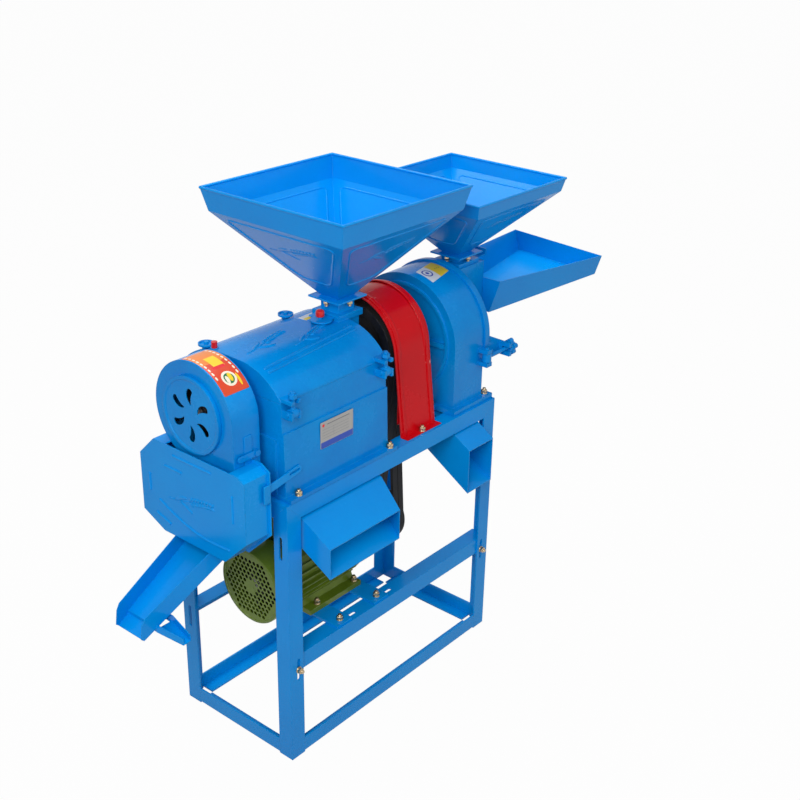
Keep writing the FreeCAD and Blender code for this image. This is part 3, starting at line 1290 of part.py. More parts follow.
def make_crusher_housing():
    """Drum-shaped crusher casting on its foot, open to the door, with a long bearing boss."""
    drum = extrude(arch, "YZ", "crusher_left", "crusher_depth", "crusher_radius", "crusher_axis",
                   "crusher_radius", "stand_height")
    foot_top = "stand_height + crusher_foot_wall"
    foot = block(("crusher_left - 12", "crusher_right - 1"), ("-crusher_foot_half", "crusher_foot_half"),
                 ("stand_height", foot_top))
    lobes = []
    for side in (-1, 1):
        for x, y, reach in ((*crusher_bolts()[0], "12"), (*crusher_bolts()[1], "14")):
            middle = f"{side} * ({y})"
            lobes.append(block((f"{x} - {reach}", f"{x} + {reach}"),
                               (f"{middle} - {reach}", f"{middle} + {reach}"),
                               ("stand_height", foot_top)))
    recess = rod(ALONG_X, ("crusher_left - 1", "0", "crusher_axis"), "face_ring_radius - 8",
                 "face_recess + 1")
    chamber = rod(ALONG_X, ("crusher_left + 18", "0", "crusher_axis"), "chamber_radius", "crusher_depth")
    outlet = block(("crusher_left + 22", "crusher_right - 8"), ("-90", "90"),
                   ("stand_height - 1", "crusher_axis"))
    ring_left = "crusher_left - face_ring_height"
    ring = cut(rod(ALONG_X, (ring_left, "0", "crusher_axis"), "face_ring_radius", "face_ring_height"),
               rod(ALONG_X, (f"{ring_left} - 1", "0", "crusher_axis"), "face_ring_radius - 8",
                   "face_ring_height + 2"))
    rib = block(("crusher_left", "crusher_left + face_recess"),
                ("10 - face_ring_radius", "face_ring_radius - 10"),
                ("crusher_axis - 6", "crusher_axis + 6"))
    boss_left = "crusher_left - boss_length"
    boss = rod(ALONG_X, (boss_left, "0", "crusher_axis"), "boss_radius", "boss_length + face_recess")
    bore = rod(ALONG_X, (f"{boss_left} - 1", "0", "crusher_axis"), "crusher_spindle_radius + shaft_fit",
               "boss_length + 30")
    ears = []
    for low, high in (("-21", "-11"), ("11", "21")):
        ears.append(block(("door_swing_x - 12", "crusher_right - 0.5"),
                          ("-door_swing_out - 10", "20 - crusher_radius"),
                          (f"door_swing_z + {low}", f"door_swing_z + {high}")))
    pin = rod(ALONG_Z, ("door_swing_x", "-door_swing_out", "door_swing_z - 24"),
              "swing_pin_radius", "48")
    shell = join(cut(join(drum, foot, *lobes), recess), ring, rib, boss, *ears, pin)
    node("crusher_housing", cut(shell, bore, chamber, outlet))


def claw(radius):
    """Outline of one square claw at a radius."""
    half = "claw_size / 2"
    return [(f"-{half}", f"{radius} - {half}"), (half, f"{radius} - {half}"),
            (half, f"{radius} + {half}"), (f"-{half}", f"{radius} + {half}")]


def make_crusher_door():
    """Round door with its ring of fixed claws, the feed box cast on it and the slotted lug."""
    door = Body("crusher_right", "0", "crusher_axis")
    door.turn([("0", "feed_hole_radius"), ("door_wall - 6", "feed_hole_radius"),
               ("door_wall - 6", "door_radius - 22"), ("door_wall", "door_radius - 18"),
               ("door_wall", "door_radius - 4"), ("door_wall - 4", "door_radius"), ("0", "door_radius")])
    claws = door.pad("claw_length + 2", outline, claw("rotor_radius * 0.69"), offset="-claw_length")
    door.repeat(claws, "6")
    box_left = "door_right - 6"
    box_low = "crusher_axis - feed_hole_radius - feed_box_wall - 4"
    side = [(box_left, box_low), (f"{box_left} + 40", box_low), ("feed_box_right", "tray_throat_low - 6"),
            ("feed_box_right", "feed_box_top"), (box_left, "feed_box_top")]
    box = prism("XZ", "-feed_box_half", "2 * feed_box_half", side)
    room = prism("XZ", "feed_box_wall - feed_box_half", "2 * (feed_box_half - feed_box_wall)", [
        (f"{box_left} - 1", f"{box_low} + feed_box_wall"),
        (f"{box_left} + 38", f"{box_low} + feed_box_wall"),
        ("feed_box_right - feed_box_wall", "tray_throat_low + feed_box_wall - 8"),
        ("feed_box_right - feed_box_wall", "feed_box_top - feed_box_wall"),
        (f"{box_left} + feed_box_wall", "feed_box_top - feed_box_wall"),
        (f"{box_left} + feed_box_wall", "crusher_axis + feed_hole_radius"),
        (f"{box_left} - 1", "crusher_axis + feed_hole_radius")])
    inlet = block(("feed_neck_x - throat_bore_half", "feed_neck_x + throat_bore_half"),
                  ("-throat_bore_half", "throat_bore_half"),
                  ("feed_box_top - feed_box_wall - 1", "feed_box_top + 1"))
    window = block(("feed_box_right - feed_box_wall - 1", "feed_box_right + 1"),
                   ("8 - feed_box_half", "feed_box_half - 8"),
                   ("tray_throat_low + 6", "stand_height + tray_lift - 14"))
    seat = block(("feed_neck_x - throat_half - 6", "feed_neck_x + throat_half + 6"),
                 ("-throat_half - 6", "throat_half + 6"), ("feed_box_top - 6", "feed_box_top"))
    lug_y = "-door_swing_out"
    arm = prism("XZ", "-door_radius + 4", "10", [
        ("door_right - 8", "door_swing_z - 18"), ("lug_face", "door_swing_z - 16"),
        ("lug_face", "door_swing_z + 16"), ("door_right - 8", "door_swing_z + 46")])
    lug = cut(block(("lug_face - 10", "lug_face"), (f"{lug_y} - 15", "-door_radius + 14"),
                    ("door_swing_z - 16", "door_swing_z + 16")),
              block(("lug_face - 11", "lug_face + 1"), (f"{lug_y} - 16", f"{lug_y} + swing_rod_radius + 1"),
                    ("door_swing_z - swing_rod_radius - 1", "door_swing_z + swing_rod_radius + 1")))
    box = cut(join(box, seat), room, inlet, window)
    guides = gate_guides("feed_neck_x", "feed_box_top", "crusher_hopper_foot")
    node("crusher_door", join(door.body, box, arm, lug, *guides))


def make_crusher_inside():
    """Spindle, claw rotor and ring sieve of the crusher."""
    left = "crusher_pulley_x - pulley_half - 6"
    node("crusher_spindle", rod(ALONG_X, (left, "0", "crusher_axis"), "crusher_spindle_radius",
                                f"crusher_left + 46 - ({left})"))
    rotor = Body("crusher_left + 22", "0", "crusher_axis")
    bore = "crusher_spindle_radius + shaft_fit"
    rotor.turn([("0", bore), ("24", bore), ("24", "28"), ("rotor_disc + 6", "30"),
                ("rotor_disc + 6", "rotor_radius"), ("6", "rotor_radius"), ("6", "30"), ("0", "28")])
    for radius, count in (("rotor_radius * 0.47", "4"), ("rotor_radius - claw_size / 2", "8")):
        pad = rotor.pad("claw_length", outline, claw(radius), offset="rotor_disc + 5")
        rotor.repeat(pad, count)
    node("crusher_rotor", rotor.body)

    sieve = Body("crusher_left + 18", "0", "crusher_axis")
    depth = "crusher_depth - 18"
    sieve.turn([("0", "sieve_radius"), (depth, "sieve_radius"), (depth, "sieve_radius + sieve_wall"),
                ("0", "sieve_radius + sieve_wall")])
    slot = sieve.pocket(f"{depth} - 24", outline, [
        ("-5", "sieve_radius - 1"), ("5", "sieve_radius - 1"), ("5", "sieve_radius + sieve_wall + 1"),
        ("-5", "sieve_radius + sieve_wall + 1")], offset="12")
    sieve.repeat(slot, "16")
    node("crusher_sieve", sieve.body)


def tray_section(x, y, turn, half, height, inset):
    """Draw one end section of the feed tray, open side up."""
    sketch = doc.addObject("Sketcher::SketchObject", "Section")
    rotation = FreeCAD.Rotation(FreeCAD.Vector(0, 0, 1), value(turn)) * FACING["YZ"][0]
    sketch.Placement = FreeCAD.Placement(FreeCAD.Vector(), rotation)
    place(sketch, x, y, "stand_height + tray_lift")
    low = f"{half} - {height} / tray_flare"
    outline(sketch, mirrored([(f"{low} - {inset}", f"{inset} - {height}"), (f"{half} - {inset}", "0")]))
    return sketch


def loft(*sections):
    """Stretch a straight-sided solid between sections."""
    result = doc.addObject("Part::Loft", "Loft")
    result.Sections = list(sections)
    result.Solid = True
    result.Ruled = True
    return result


def make_feed_tray():
    """Open feed tray of the crusher: its floor falls towards the feed box."""
    throat = ("tray_throat_half", "tray_throat_height")
    end = ("tray_half_width", "tray_end_height")
    outer = loft(tray_section("feed_box_right", "0", "0", *throat, "0"),
                 tray_section("feed_box_right + tray_length", "tray_shift", "tray_turn", *end, "0"))
    room = loft(tray_section("feed_box_right + sheet_wall", "0", "0", *throat, "sheet_wall"),
                tray_section("feed_box_right + tray_length - sheet_wall", "tray_shift", "tray_turn", *end,
                             "sheet_wall"))
    window = block(("feed_box_right - 1", "feed_box_right + sheet_wall + 1"),
                   ("8 - feed_box_half", "feed_box_half - 8"),
                   ("tray_throat_low + 6", "stand_height + tray_lift - 14"))
    node("feed_tray", cut(outer, room, window))


# swing bolts and fasteners

def hex_prism(base, turn, radius, height):
    """Make a hexagonal nut or bolt head."""
    solid = doc.addObject("Part::Prism", "Hexagon")
    solid.Polygon = 6
    solid.Placement = FreeCAD.Placement(FreeCAD.Vector(), turn)
    bind(solid, Circumradius=radius, Height=height)
    return place(solid, *base)


def make_swing_bolts():
    """Eye bolts that swing out of the slotted lugs once their nuts are slackened."""
    hole = "swing_pin_radius + pin_fit"
    for side, x in (("left", "mill_swing_left"), ("right", "mill_swing_right")):
        eye = rod(ALONG_X, (f"{x} - 7.5", "mill_swing_y", "mill_swing_z"), "swing_eye_radius", "15")
        nut_low = "mill_lug_low + 8 + swing_gap"
        shank = rod(ALONG_Z, (x, "mill_swing_y", "mill_swing_z"), "swing_rod_radius",
                    f"{nut_low} + 14 - mill_swing_z")
        nut = hex_prism((x, "mill_swing_y", nut_low), ALONG_Z, "bolt_head + 2", "9")
        bore = rod(ALONG_X, (f"{x} - 8", "mill_swing_y", "mill_swing_z"), hole, "16")
        node(f"swing_bolt_{side}", cut(join(eye, shank, nut), bore))
    y, z = "-door_swing_out", "door_swing_z"
    eye = rod(ALONG_Z, ("door_swing_x", y, f"{z} - 10.5"), "swing_eye_radius", "21")
    star_left = "lug_face + swing_gap"
    shank = rod(ALONG_X, ("door_swing_x", y, z), "swing_rod_radius",
                f"{star_left} + star_length + 6 - door_swing_x")
    bore = rod(ALONG_Z, ("door_swing_x", y, f"{z} - 11"), hole, "22")
    node("door_swing_bolt", cut(join(eye, shank), bore))

    star = Body(star_left, y, z)
    star.turn([("0", "swing_rod_radius + pin_fit"), ("star_length", "swing_rod_radius + pin_fit"),
               ("star_length", "star_radius * 0.55"), ("star_length - 5", "star_radius * 0.68"),
               ("4", "star_radius * 0.68"), ("0", "star_radius * 0.5")])
    lobe = star.pad("star_length - 10", circle, "0", "star_radius * 0.68", "star_radius * 0.32", offset="5")
    star.repeat(lobe, "5")
    node("star_nut", star.body)


def bolt(turn, base, head_side):
    """Make a hexagon bolt head on its washer, seated on a face."""
    x, y, z = base
    washer = rod(turn, base, "washer_radius", "washer_wall")
    if head_side == "z":
        head = hex_prism((x, y, f"{z} + washer_wall"), turn, "bolt_head", "bolt_head_height")
    else:
        washer = rod(turn, (x, f"{y} - washer_wall", z), "washer_radius", "washer_wall")
        head = hex_prism((x, f"{y} - washer_wall - bolt_head_height", z), turn,
                         "bolt_head", "bolt_head_height")
    return join(washer, head)


def make_fasteners():
    """Zinc-plated bolts of the stand, feet and guard, the cover's ring nuts and the filler cap."""
    face, corner = crusher_bolts()
    foot_left = "foot_bolt_middle - foot_bolt_pitch / 2"
    foot_right = "foot_bolt_middle + foot_bolt_pitch / 2"
    crusher_foot_top = "stand_height + crusher_foot_wall"
    upright = []
    for side in (-1, 1):
        for x, out, z in (
                ("mill_left + 27", "mill_flange_half - 8.4", "mill_seat"),
                ("mill_right - 3", "mill_flange_half - 8.4", "mill_seat"),
                ("guard_x", "guard_half_base + guard_foot - 8", "stand_height + guard_wall"),
                (*face, crusher_foot_top), (*corner, crusher_foot_top),
                (foot_left, "foot_bolt_half_width + 8", "motor_seat + foot_wall"),
                (foot_right, "foot_bolt_half_width + 8", "motor_seat + foot_wall"),
                (foot_left, "rail_bolt_line", "motor_seat"), (foot_right, "rail_bolt_line", "motor_seat")):
            upright.append(bolt(ALONG_Z, (x, f"{side} * ({out})", z), "z"))
    sideways = [bolt(ALONG_Y, (x, "-half_width", "low_slot_height"), "y")
                for x in ("left_end + slot_inset", "right_end - slot_inset")]
    node("zinc_bolts", several(*upright, *sideways))

    rings = []
    for x, y, top in cover_bosses()[:2]:
        hub = rod(ALONG_Z, (x, y, top), "5", "9")
        disc = rod(ALONG_Z, (x, y, f"{top} + 1.5"), "ring_nut_radius", "4.5")
        hollow = cut(rod(ALONG_Z, (x, y, f"{top} + 3"), "ring_nut_radius - 3", "4"),
                     rod(ALONG_Z, (x, y, f"{top} + 2"), "5", "6"))
        rings.append(join(hub, cut(disc, hollow)))
    node("ring_nuts", several(*rings))
    x, y, top = cover_bosses()[2]
    node("filler_cap", rod(ALONG_Z, (x, y, top), "cap_radius", "13"))


def check():
    """Stop if any object failed or any sub-part isn't one valid closed shape."""
    for item in doc.Objects:
        if {"Invalid", "Error"} & set(item.State):
            raise RuntimeError(f"{item.Name} ({item.Label}) failed: {item.State}")
    for name, thing in NODES.items():
        if thing.Shape.isNull() or not thing.Shape.isValid() or not thing.Shape.Solids:
            raise RuntimeError(f"{name} has no valid shape")


def main():
    """Build every sub-part, check it and write its STEP file."""
    for make in (make_legs, make_top_rails, make_low_rails, make_cross_bars, make_motor, make_drive,
                 make_guard,
                 make_mill_body, make_mill_cover, make_mill_inside, make_blower, make_aspirator,
                 make_rice_chute, make_ducts, make_gates, make_crusher_housing, make_crusher_door,
                 make_crusher_inside, make_feed_tray, make_swing_bolts, make_fasteners):
        make()
    make_hopper("mill_hopper", "throat_middle", "hopper_foot", "mill_neck_height", "mill_hopper_top",
                "mill_hopper_half", "collar_height", "collar_step", "0")
    make_hopper("crusher_hopper", "feed_neck_x", "crusher_hopper_foot", "crusher_neck_height",
                "crusher_hopper_top", "crusher_hopper_half", "crusher_collar_height",
                "crusher_collar_step", "crusher_hopper_shift")
    doc.recompute()
    check()
    os.makedirs("parts", exist_ok=True)
    for name, thing in NODES.items():
        thing.Shape.exportStep(f"parts/{name}.step")
        print(name, len(thing.Shape.Solids), round(thing.Shape.Volume / 1000, 1))
    print(len(NODES), "sub-parts")


main()
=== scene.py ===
"""Looks of a rice mill and a claw crusher that share one stand, one motor and one coat of blue paint."""

import logging
import math
from dataclasses import dataclass, replace
from enum import Enum
from typing import Sequence

import bpy
import numpy as np
from mathutils import Matrix, Vector


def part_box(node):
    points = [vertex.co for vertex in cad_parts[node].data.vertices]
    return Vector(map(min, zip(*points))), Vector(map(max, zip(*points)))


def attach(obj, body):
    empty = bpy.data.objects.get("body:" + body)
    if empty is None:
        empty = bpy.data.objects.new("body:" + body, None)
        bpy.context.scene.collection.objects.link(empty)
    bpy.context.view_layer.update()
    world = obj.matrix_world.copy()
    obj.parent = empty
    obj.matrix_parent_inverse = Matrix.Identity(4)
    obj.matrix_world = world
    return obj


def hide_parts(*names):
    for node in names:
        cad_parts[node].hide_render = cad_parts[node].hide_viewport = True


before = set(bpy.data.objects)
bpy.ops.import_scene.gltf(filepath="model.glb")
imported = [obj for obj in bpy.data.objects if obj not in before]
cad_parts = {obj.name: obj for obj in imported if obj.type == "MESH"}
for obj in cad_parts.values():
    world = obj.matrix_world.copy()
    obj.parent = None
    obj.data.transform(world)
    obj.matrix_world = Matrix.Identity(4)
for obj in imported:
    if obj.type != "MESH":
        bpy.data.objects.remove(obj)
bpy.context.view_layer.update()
STAND = "stand"
X, Y, Z = np.eye(3)
Colour = tuple[float, float, float]
Point = tuple[float, float]
Oblong = tuple[float, float, float, float]
log = logging.getLogger("rice_mill")


# Shader parts

class Graph:
    """A node tree with short calls to add and join nodes."""

    def __init__(self, tree: bpy.types.NodeTree) -> None:
        """Keep the tree."""
        self.tree = tree

    def add(self, kind: str, **settings: object) -> bpy.types.Node:
        """Add a node.

        Args:
            kind: the node's type without its ShaderNode prefix.
            settings: properties of the node, or in_NAME for the value of a socket.

        Returns:
            The new node.
        """
        node = self.tree.nodes.new(kind if kind.startswith("Node") else f"ShaderNode{kind}")
        for name, given in settings.items():
            if name.startswith("in_"):
                node.inputs[name[3:].replace("_", " ")].default_value = given
            else:
                setattr(node, name, given)
        return node

    def join(self, given: object, end: bpy.types.NodeSocket) -> None:
        """Link an output to an input, or set the input to a constant."""
        if isinstance(given, bpy.types.NodeSocket):
            self.tree.links.new(given, end)
        else:
            end.default_value = given

    def texture(self, kind: str, **settings: object) -> bpy.types.Node:
        """Add a texture that lies on the piece's own coordinates.

        Args:
            kind: the node's type without its prefix.
            settings: as for add.

        Returns:
            The texture node.
        """
        node = self.add(kind, **settings)
        self.join(self.add("TexCoord").outputs["Object"], node.inputs["Vector"])
        return node

    def math(self, operation: str, first: object, second: object, clamp: bool = False) -> bpy.types.NodeSocket:
        """Add a Math node.

        Args:
            operation: its operation.
            first: a socket or a number.
            second: a socket or a number.
            clamp: whether the result stays within 0 and 1.

        Returns:
            Its output.
        """
        node = self.add("Math", operation=operation, use_clamp=clamp)
        self.join(first, node.inputs[0])
        self.join(second, node.inputs[1])
        return node.outputs[0]

    def past(self, value: object, threshold: float, gain: float) -> bpy.types.NodeSocket:
        """Return how far a value passes a threshold, times a gain, within 0 and 1."""
        return self.math("MULTIPLY", self.math("SUBTRACT", value, threshold), gain, clamp=True)

    def blend(self, share: object, first: object, second: object) -> bpy.types.NodeSocket:
        """Mix two colours.

        Args:
            share: how much of the second one shows, a socket or a number.
            first: a socket or a colour.
            second: a socket or a colour.

        Returns:
            The mixed colour.
        """
        node = self.add("Mix", data_type="RGBA")
        for given, place in ((share, 0), (first, 6), (second, 7)):
            self.join(given, node.inputs[place])
        return node.outputs[2]


def draw_drift(graph: Graph, ins: dict, outs: dict) -> None:
    """Colour that drifts slowly over a surface, with a finer mottle on top."""
    fine_share, contrast = 0.2, 3.2
    broad = graph.texture("TexNoise", in_Detail=3.0, in_Roughness=0.6)
    fine = graph.texture("TexNoise", in_Scale=140.0, in_Detail=4.0)
    graph.join(ins["Scale"], broad.inputs["Scale"])
    both = graph.math("ADD", graph.math("MULTIPLY", broad.outputs["Fac"], 1 - fine_share),
                      graph.math("MULTIPLY", fine.outputs["Fac"], fine_share))
    spread = graph.math("MULTIPLY", graph.math("SUBTRACT", both, 0.5), contrast)
    share = graph.math("ADD", graph.math("MULTIPLY", spread, ins["Amount"]), 0.5, clamp=True)
    graph.join(graph.blend(share, ins["Deep"], ins["Colour"]), outs["Colour"])
    graph.join(both, outs["Mask"])


def draw_wear_and_highlight(graph: Graph, ins: dict, outs: dict) -> None:
    """A mask along convex edges, broken up by noise: where a rounded normal leaves the true one. It marks edge
    wear and a painted edge highlight.
    """
    bevel = graph.add("Bevel", samples=4)
    graph.join(ins["Width"], bevel.inputs["Radius"])
    turn = graph.add("VectorMath", operation="DOT_PRODUCT")
    graph.join(bevel.outputs[0], turn.inputs[0])
    graph.join(graph.add("NewGeometry").outputs["Normal"], turn.inputs[1])
    edge = graph.math("MULTIPLY", graph.math("SUBTRACT", 0.985, turn.outputs["Value"]), 9.0, clamp=True)
    speck = graph.texture("TexNoise", in_Scale=55.0, in_Detail=5.0, in_Roughness=0.7)
    graph.join(graph.math("MULTIPLY", edge, graph.past(speck.outputs["Fac"], 0.44, 7.0)), outs["Mask"])
    graph.join(bevel.outputs[0], outs["Normal"])


def draw_skin(graph: Graph, ins: dict, outs: dict) -> None:
    """Height of a painted skin: broad waves of the metal below and the fine pitting of sprayed paint."""
    wave = graph.texture("TexNoise", in_Scale=9.0, in_Detail=2.0)
    peel = graph.texture("TexNoise", in_Detail=3.0, in_Roughness=0.55)
    graph.join(ins["Peel"], peel.inputs["Scale"])
    graph.join(graph.math("ADD", graph.math("MULTIPLY", wave.outputs["Fac"], ins["Waves"]),
                          graph.math("MULTIPLY", peel.outputs["Fac"], ins["Pits"])), outs["Height"])


EFFECTS = {
    "colour_drift": ({"Colour": "Color", "Deep": "Color", "Scale": "Float", "Amount": "Float"},
                     {"Colour": "Color", "Mask": "Float"}, draw_drift),
    "edge_wear_and_highlight": ({"Width": "Float"}, {"Mask": "Float", "Normal": "Vector"}, draw_wear_and_highlight),
    "paint_skin": ({"Waves": "Float", "Peel": "Float", "Pits": "Float"}, {"Height": "Float"}, draw_skin),
}


def shared_effect(name: str) -> bpy.types.NodeTree:
    """Return the node group of an effect that several materials share, built on first use.

    Args:
        name: the effect's name.

    Returns:
        The group.
    """
    found = bpy.data.node_groups.get(name)
    if found:
        return found
    tree = bpy.data.node_groups.new(name, "ShaderNodeTree")
    ins, outs, draw = EFFECTS[name]
    for way, sockets in (("INPUT", ins), ("OUTPUT", outs)):
        for label, kind in sockets.items():
            tree.interface.new_socket(label, in_out=way, socket_type=f"NodeSocket{kind}")
    graph = Graph(tree)
    entry, leave = graph.add("NodeGroupInput"), graph.add("NodeGroupOutput")
    draw(graph, {item.name: item for item in entry.outputs}, {item.name: item for item in leave.inputs})
    return tree


@dataclass(frozen=True)
class Finish:
    """A painted or bare surface, dressed by drift, skin and convex edges lightened for wear and a painted edge
    highlight; lengths are in metres.
    """

    name: str
    colour: Colour
    deep: Colour
    # Paler colour for convex edges: edge wear and a painted edge highlight.
    worn_and_highlight: Colour
    roughness: float = 0.3
    metallic: float = 0.0
    coat: float = 0.0
    shine: float = 0.3
    drift_scale: float = 6.0
    drift: float = 0.5
    waves: float = 0.4
    peel: float = 260.0
    pits: float = 0.05
    height: float = 0.0012
    edge: float = 0.0016
    wear_and_highlight: float = 0.3

    def material(self) -> bpy.types.Material:
        """Return the finish's material, built on first use."""
        found = bpy.data.materials.get(self.name)
        if found:
            return found
        made = bpy.data.materials.new(self.name)
        made.use_nodes = True
        made.diffuse_color = (*self.colour, 1.0)
        graph = Graph(made.node_tree)
        made.node_tree.nodes.clear()
        out = graph.add("OutputMaterial")
        shader = graph.add("BsdfPrincipled", in_Metallic=self.metallic, in_Coat_Weight=self.coat,
                           in_Coat_Roughness=0.05, in_Specular_IOR_Level=self.shine)
        graph.join(shader.outputs[0], out.inputs["Surface"])
        self.dress(graph, shader)
        return made

    def dress(self, graph: Graph, shader: bpy.types.Node) -> None:
        """Join the shared effects to the shader; drift and the worn, highlighted edges also change its roughness a
        little.

        Args:
            graph: the material's tree.
            shader: its Principled BSDF.
        """
        drift_rough, worn_rough = 0.25, 0.2
        drift = graph.add("Group", node_tree=shared_effect("colour_drift"), in_Colour=(*self.colour, 1),
                          in_Deep=(*self.deep, 1), in_Scale=self.drift_scale, in_Amount=self.drift)
        wear_and_highlight = graph.add("Group", node_tree=shared_effect("edge_wear_and_highlight"), in_Width=self.edge)
        skin = graph.add("Group", node_tree=shared_effect("paint_skin"), in_Waves=self.waves,
                         in_Peel=self.peel, in_Pits=self.pits)
        # Convex edges blend towards the paler edge colour: edge wear and a painted edge highlight.
        worn_and_lit_share = graph.math("MULTIPLY", wear_and_highlight.outputs["Mask"], self.wear_and_highlight)
        graph.join(graph.blend(worn_and_lit_share, self.coloured(graph, drift.outputs["Colour"]), (*self.worn_and_highlight, 1)),
                   shader.inputs["Base Color"])
        uneven = graph.math("MULTIPLY", graph.math("SUBTRACT", drift.outputs["Mask"], 0.5), drift_rough)
        graph.join(graph.math("ADD", graph.math("ADD", uneven, self.roughness),
                              graph.math("MULTIPLY", worn_and_lit_share, worn_rough)), shader.inputs["Roughness"])
        bump = graph.add("Bump", in_Strength=1.0, in_Distance=self.height)
        graph.join(skin.outputs["Height"], bump.inputs["Height"])
        graph.join(wear_and_highlight.outputs["Normal"], bump.inputs["Normal"])
        graph.join(bump.outputs["Normal"], shader.inputs["Normal"])

    def coloured(self, graph: Graph, base: bpy.types.NodeSocket) -> bpy.types.NodeSocket:
        """Return the base colour unchanged; a richer finish adds its own marks here."""
        return base


@dataclass(frozen=True)
class ScratchedPaint(Finish):
    """Glossy paint with a few long pale scratches."""

    scratch: Colour = (1.0, 0.55, 0.5)

    def coloured(self, graph: Graph, base: bpy.types.NodeSocket) -> bpy.types.NodeSocket:
        """Draw scratches where a stretched noise passes a high threshold.

        Args:
            graph: the material's tree.
            base: the paint's colour.

        Returns:
            The scratched colour.
        """
        place = graph.texture("Mapping", in_Rotation=(0.5, 0.2, 0.4), in_Scale=(6.0, 150.0, 9.0))
        streak = graph.add("TexNoise", in_Scale=1.6, in_Detail=2.0)
        graph.join(place.outputs[0], streak.inputs["Vector"])
        mask = graph.past(streak.outputs["Fac"], 0.67, 14.0)
        return graph.blend(graph.math("MULTIPLY", mask, 0.5), base, (*self.scratch, 1))


@dataclass(frozen=True)
class BeltRubber(Finish):
    """Cord-wrapped V belt rubber with fine ribs round the loop."""

    thread: Colour = (0.05, 0.05, 0.052)

    def coloured(self, graph: Graph, base: bpy.types.NodeSocket) -> bpy.types.NodeSocket:
        """Lighten thin threads across the belt."""
        threads = graph.texture("TexWave", in_Scale=260.0, in_Distortion=2.0, bands_direction="X")
        return graph.blend(graph.math("MULTIPLY", threads.outputs["Fac"], 0.35), base, (*self.thread, 1))


@dataclass(frozen=True)
class Mark:
    """A bar or a disc of colour on a label: its middle and half sizes in metres from the label's middle."""

    middle: Point
    half: Point
    colour: Colour
    round: bool = False


@dataclass(frozen=True)
class PrintedLabel(Finish):
    """A printed plate or sticker: plain marks on a ground, placed on the plate's own plan."""

    marks: tuple[Mark, ...] = ()

    def coloured(self, graph: Graph, base: bpy.types.NodeSocket) -> bpy.types.NodeSocket:
        """Lay each mark over the ground.

        A bar covers the points within its half sizes; a disc those where the squares of both distances,
        each over its half size, add up to less than one.

        Args:
            graph: the material's tree.
            base: the ground's colour.

        Returns:
            The printed colour.
        """
        axes = graph.add("SeparateXYZ")
        graph.join(graph.add("UVMap", uv_map="plan").outputs[0], axes.inputs[0])
        for mark in self.marks:
            far = [graph.math("DIVIDE", graph.math("SUBTRACT", axes.outputs[k], mark.middle[k]), mark.half[k])
                   for k in (0, 1)]
            square = [graph.math("MULTIPLY", one, one) for one in far]
            reach = graph.math("ADD" if mark.round else "MAXIMUM", *square)
            base = graph.blend(graph.math("LESS_THAN", reach, 1.0), base, (*mark.colour, 1))
        return base


ORANGE, CREAM, YELLOW, RED = (0.80, 0.22, 0.03), (0.85, 0.78, 0.62), (0.85, 0.60, 0.02), (0.7, 0.02, 0.02)
NAVY, PALE, GREEN, INK = (0.01, 0.04, 0.35), (0.75, 0.77, 0.78), (0.02, 0.16, 0.05), (0.2, 0.2, 0.21)
CROP_MARKS = (
    Mark((0.0, 0.045), (0.040, 0.036), ORANGE), Mark((0.002, 0.012), (0.013, 0.018), YELLOW),
    Mark((-0.002, -0.006), (0.016, 0.004), (0.72, 0.02, 0.02)),
    Mark((0.0, -0.038), (0.017, 0.017), CREAM, True), Mark((0.0, -0.038), (0.012, 0.012), GREEN, True),
    Mark((0.004, -0.036), (0.005, 0.010), YELLOW, True), Mark((-0.005, -0.040), (0.004, 0.009), CREAM, True),
    Mark((0.020, -0.046), (0.003, 0.014), YELLOW, True),
    *(Mark((edge, -0.030 + 0.0115 * k), (0.0022, 0.0042), CREAM, True) for edge in (-0.0265, 0.0265)
      for k in range(9)))
PLATE_MARKS = (
    Mark((0.0, -0.0225), (0.0485, 0.0068), (0.02, 0.07, 0.42)),
    Mark((-0.041, 0.022), (0.0035, 0.0035), RED, True), Mark((0.004, 0.022), (0.034, 0.0011), (0.16, 0.16, 0.17)),
    *(Mark((-0.004, 0.012 - 0.0065 * k), (0.040, 0.0004), INK) for k in range(4)),
    Mark((-0.010, 0.0022), (0.0004, 0.0102), INK))
SMALL_MARKS = (Mark((0.0, -0.007), (0.022, 0.0052), YELLOW),
               Mark((-0.006, 0.007), (0.012, 0.0016), (0.62, 0.66, 0.70)))
SEAL_MARKS = (
    Mark((0.021, 0.0), (0.021, 0.04), YELLOW), Mark((-0.021, -0.002), (0.0135, 0.0145), NAVY, True),
    Mark((-0.021, -0.002), (0.0100, 0.0110), PALE, True), Mark((-0.021, -0.002), (0.0045, 0.005), NAVY, True),
    *(Mark((0.014 + 0.007 * k, 0.004), (0.0018, 0.0018), (0.2, 0.25, 0.02), True) for k in range(3)))


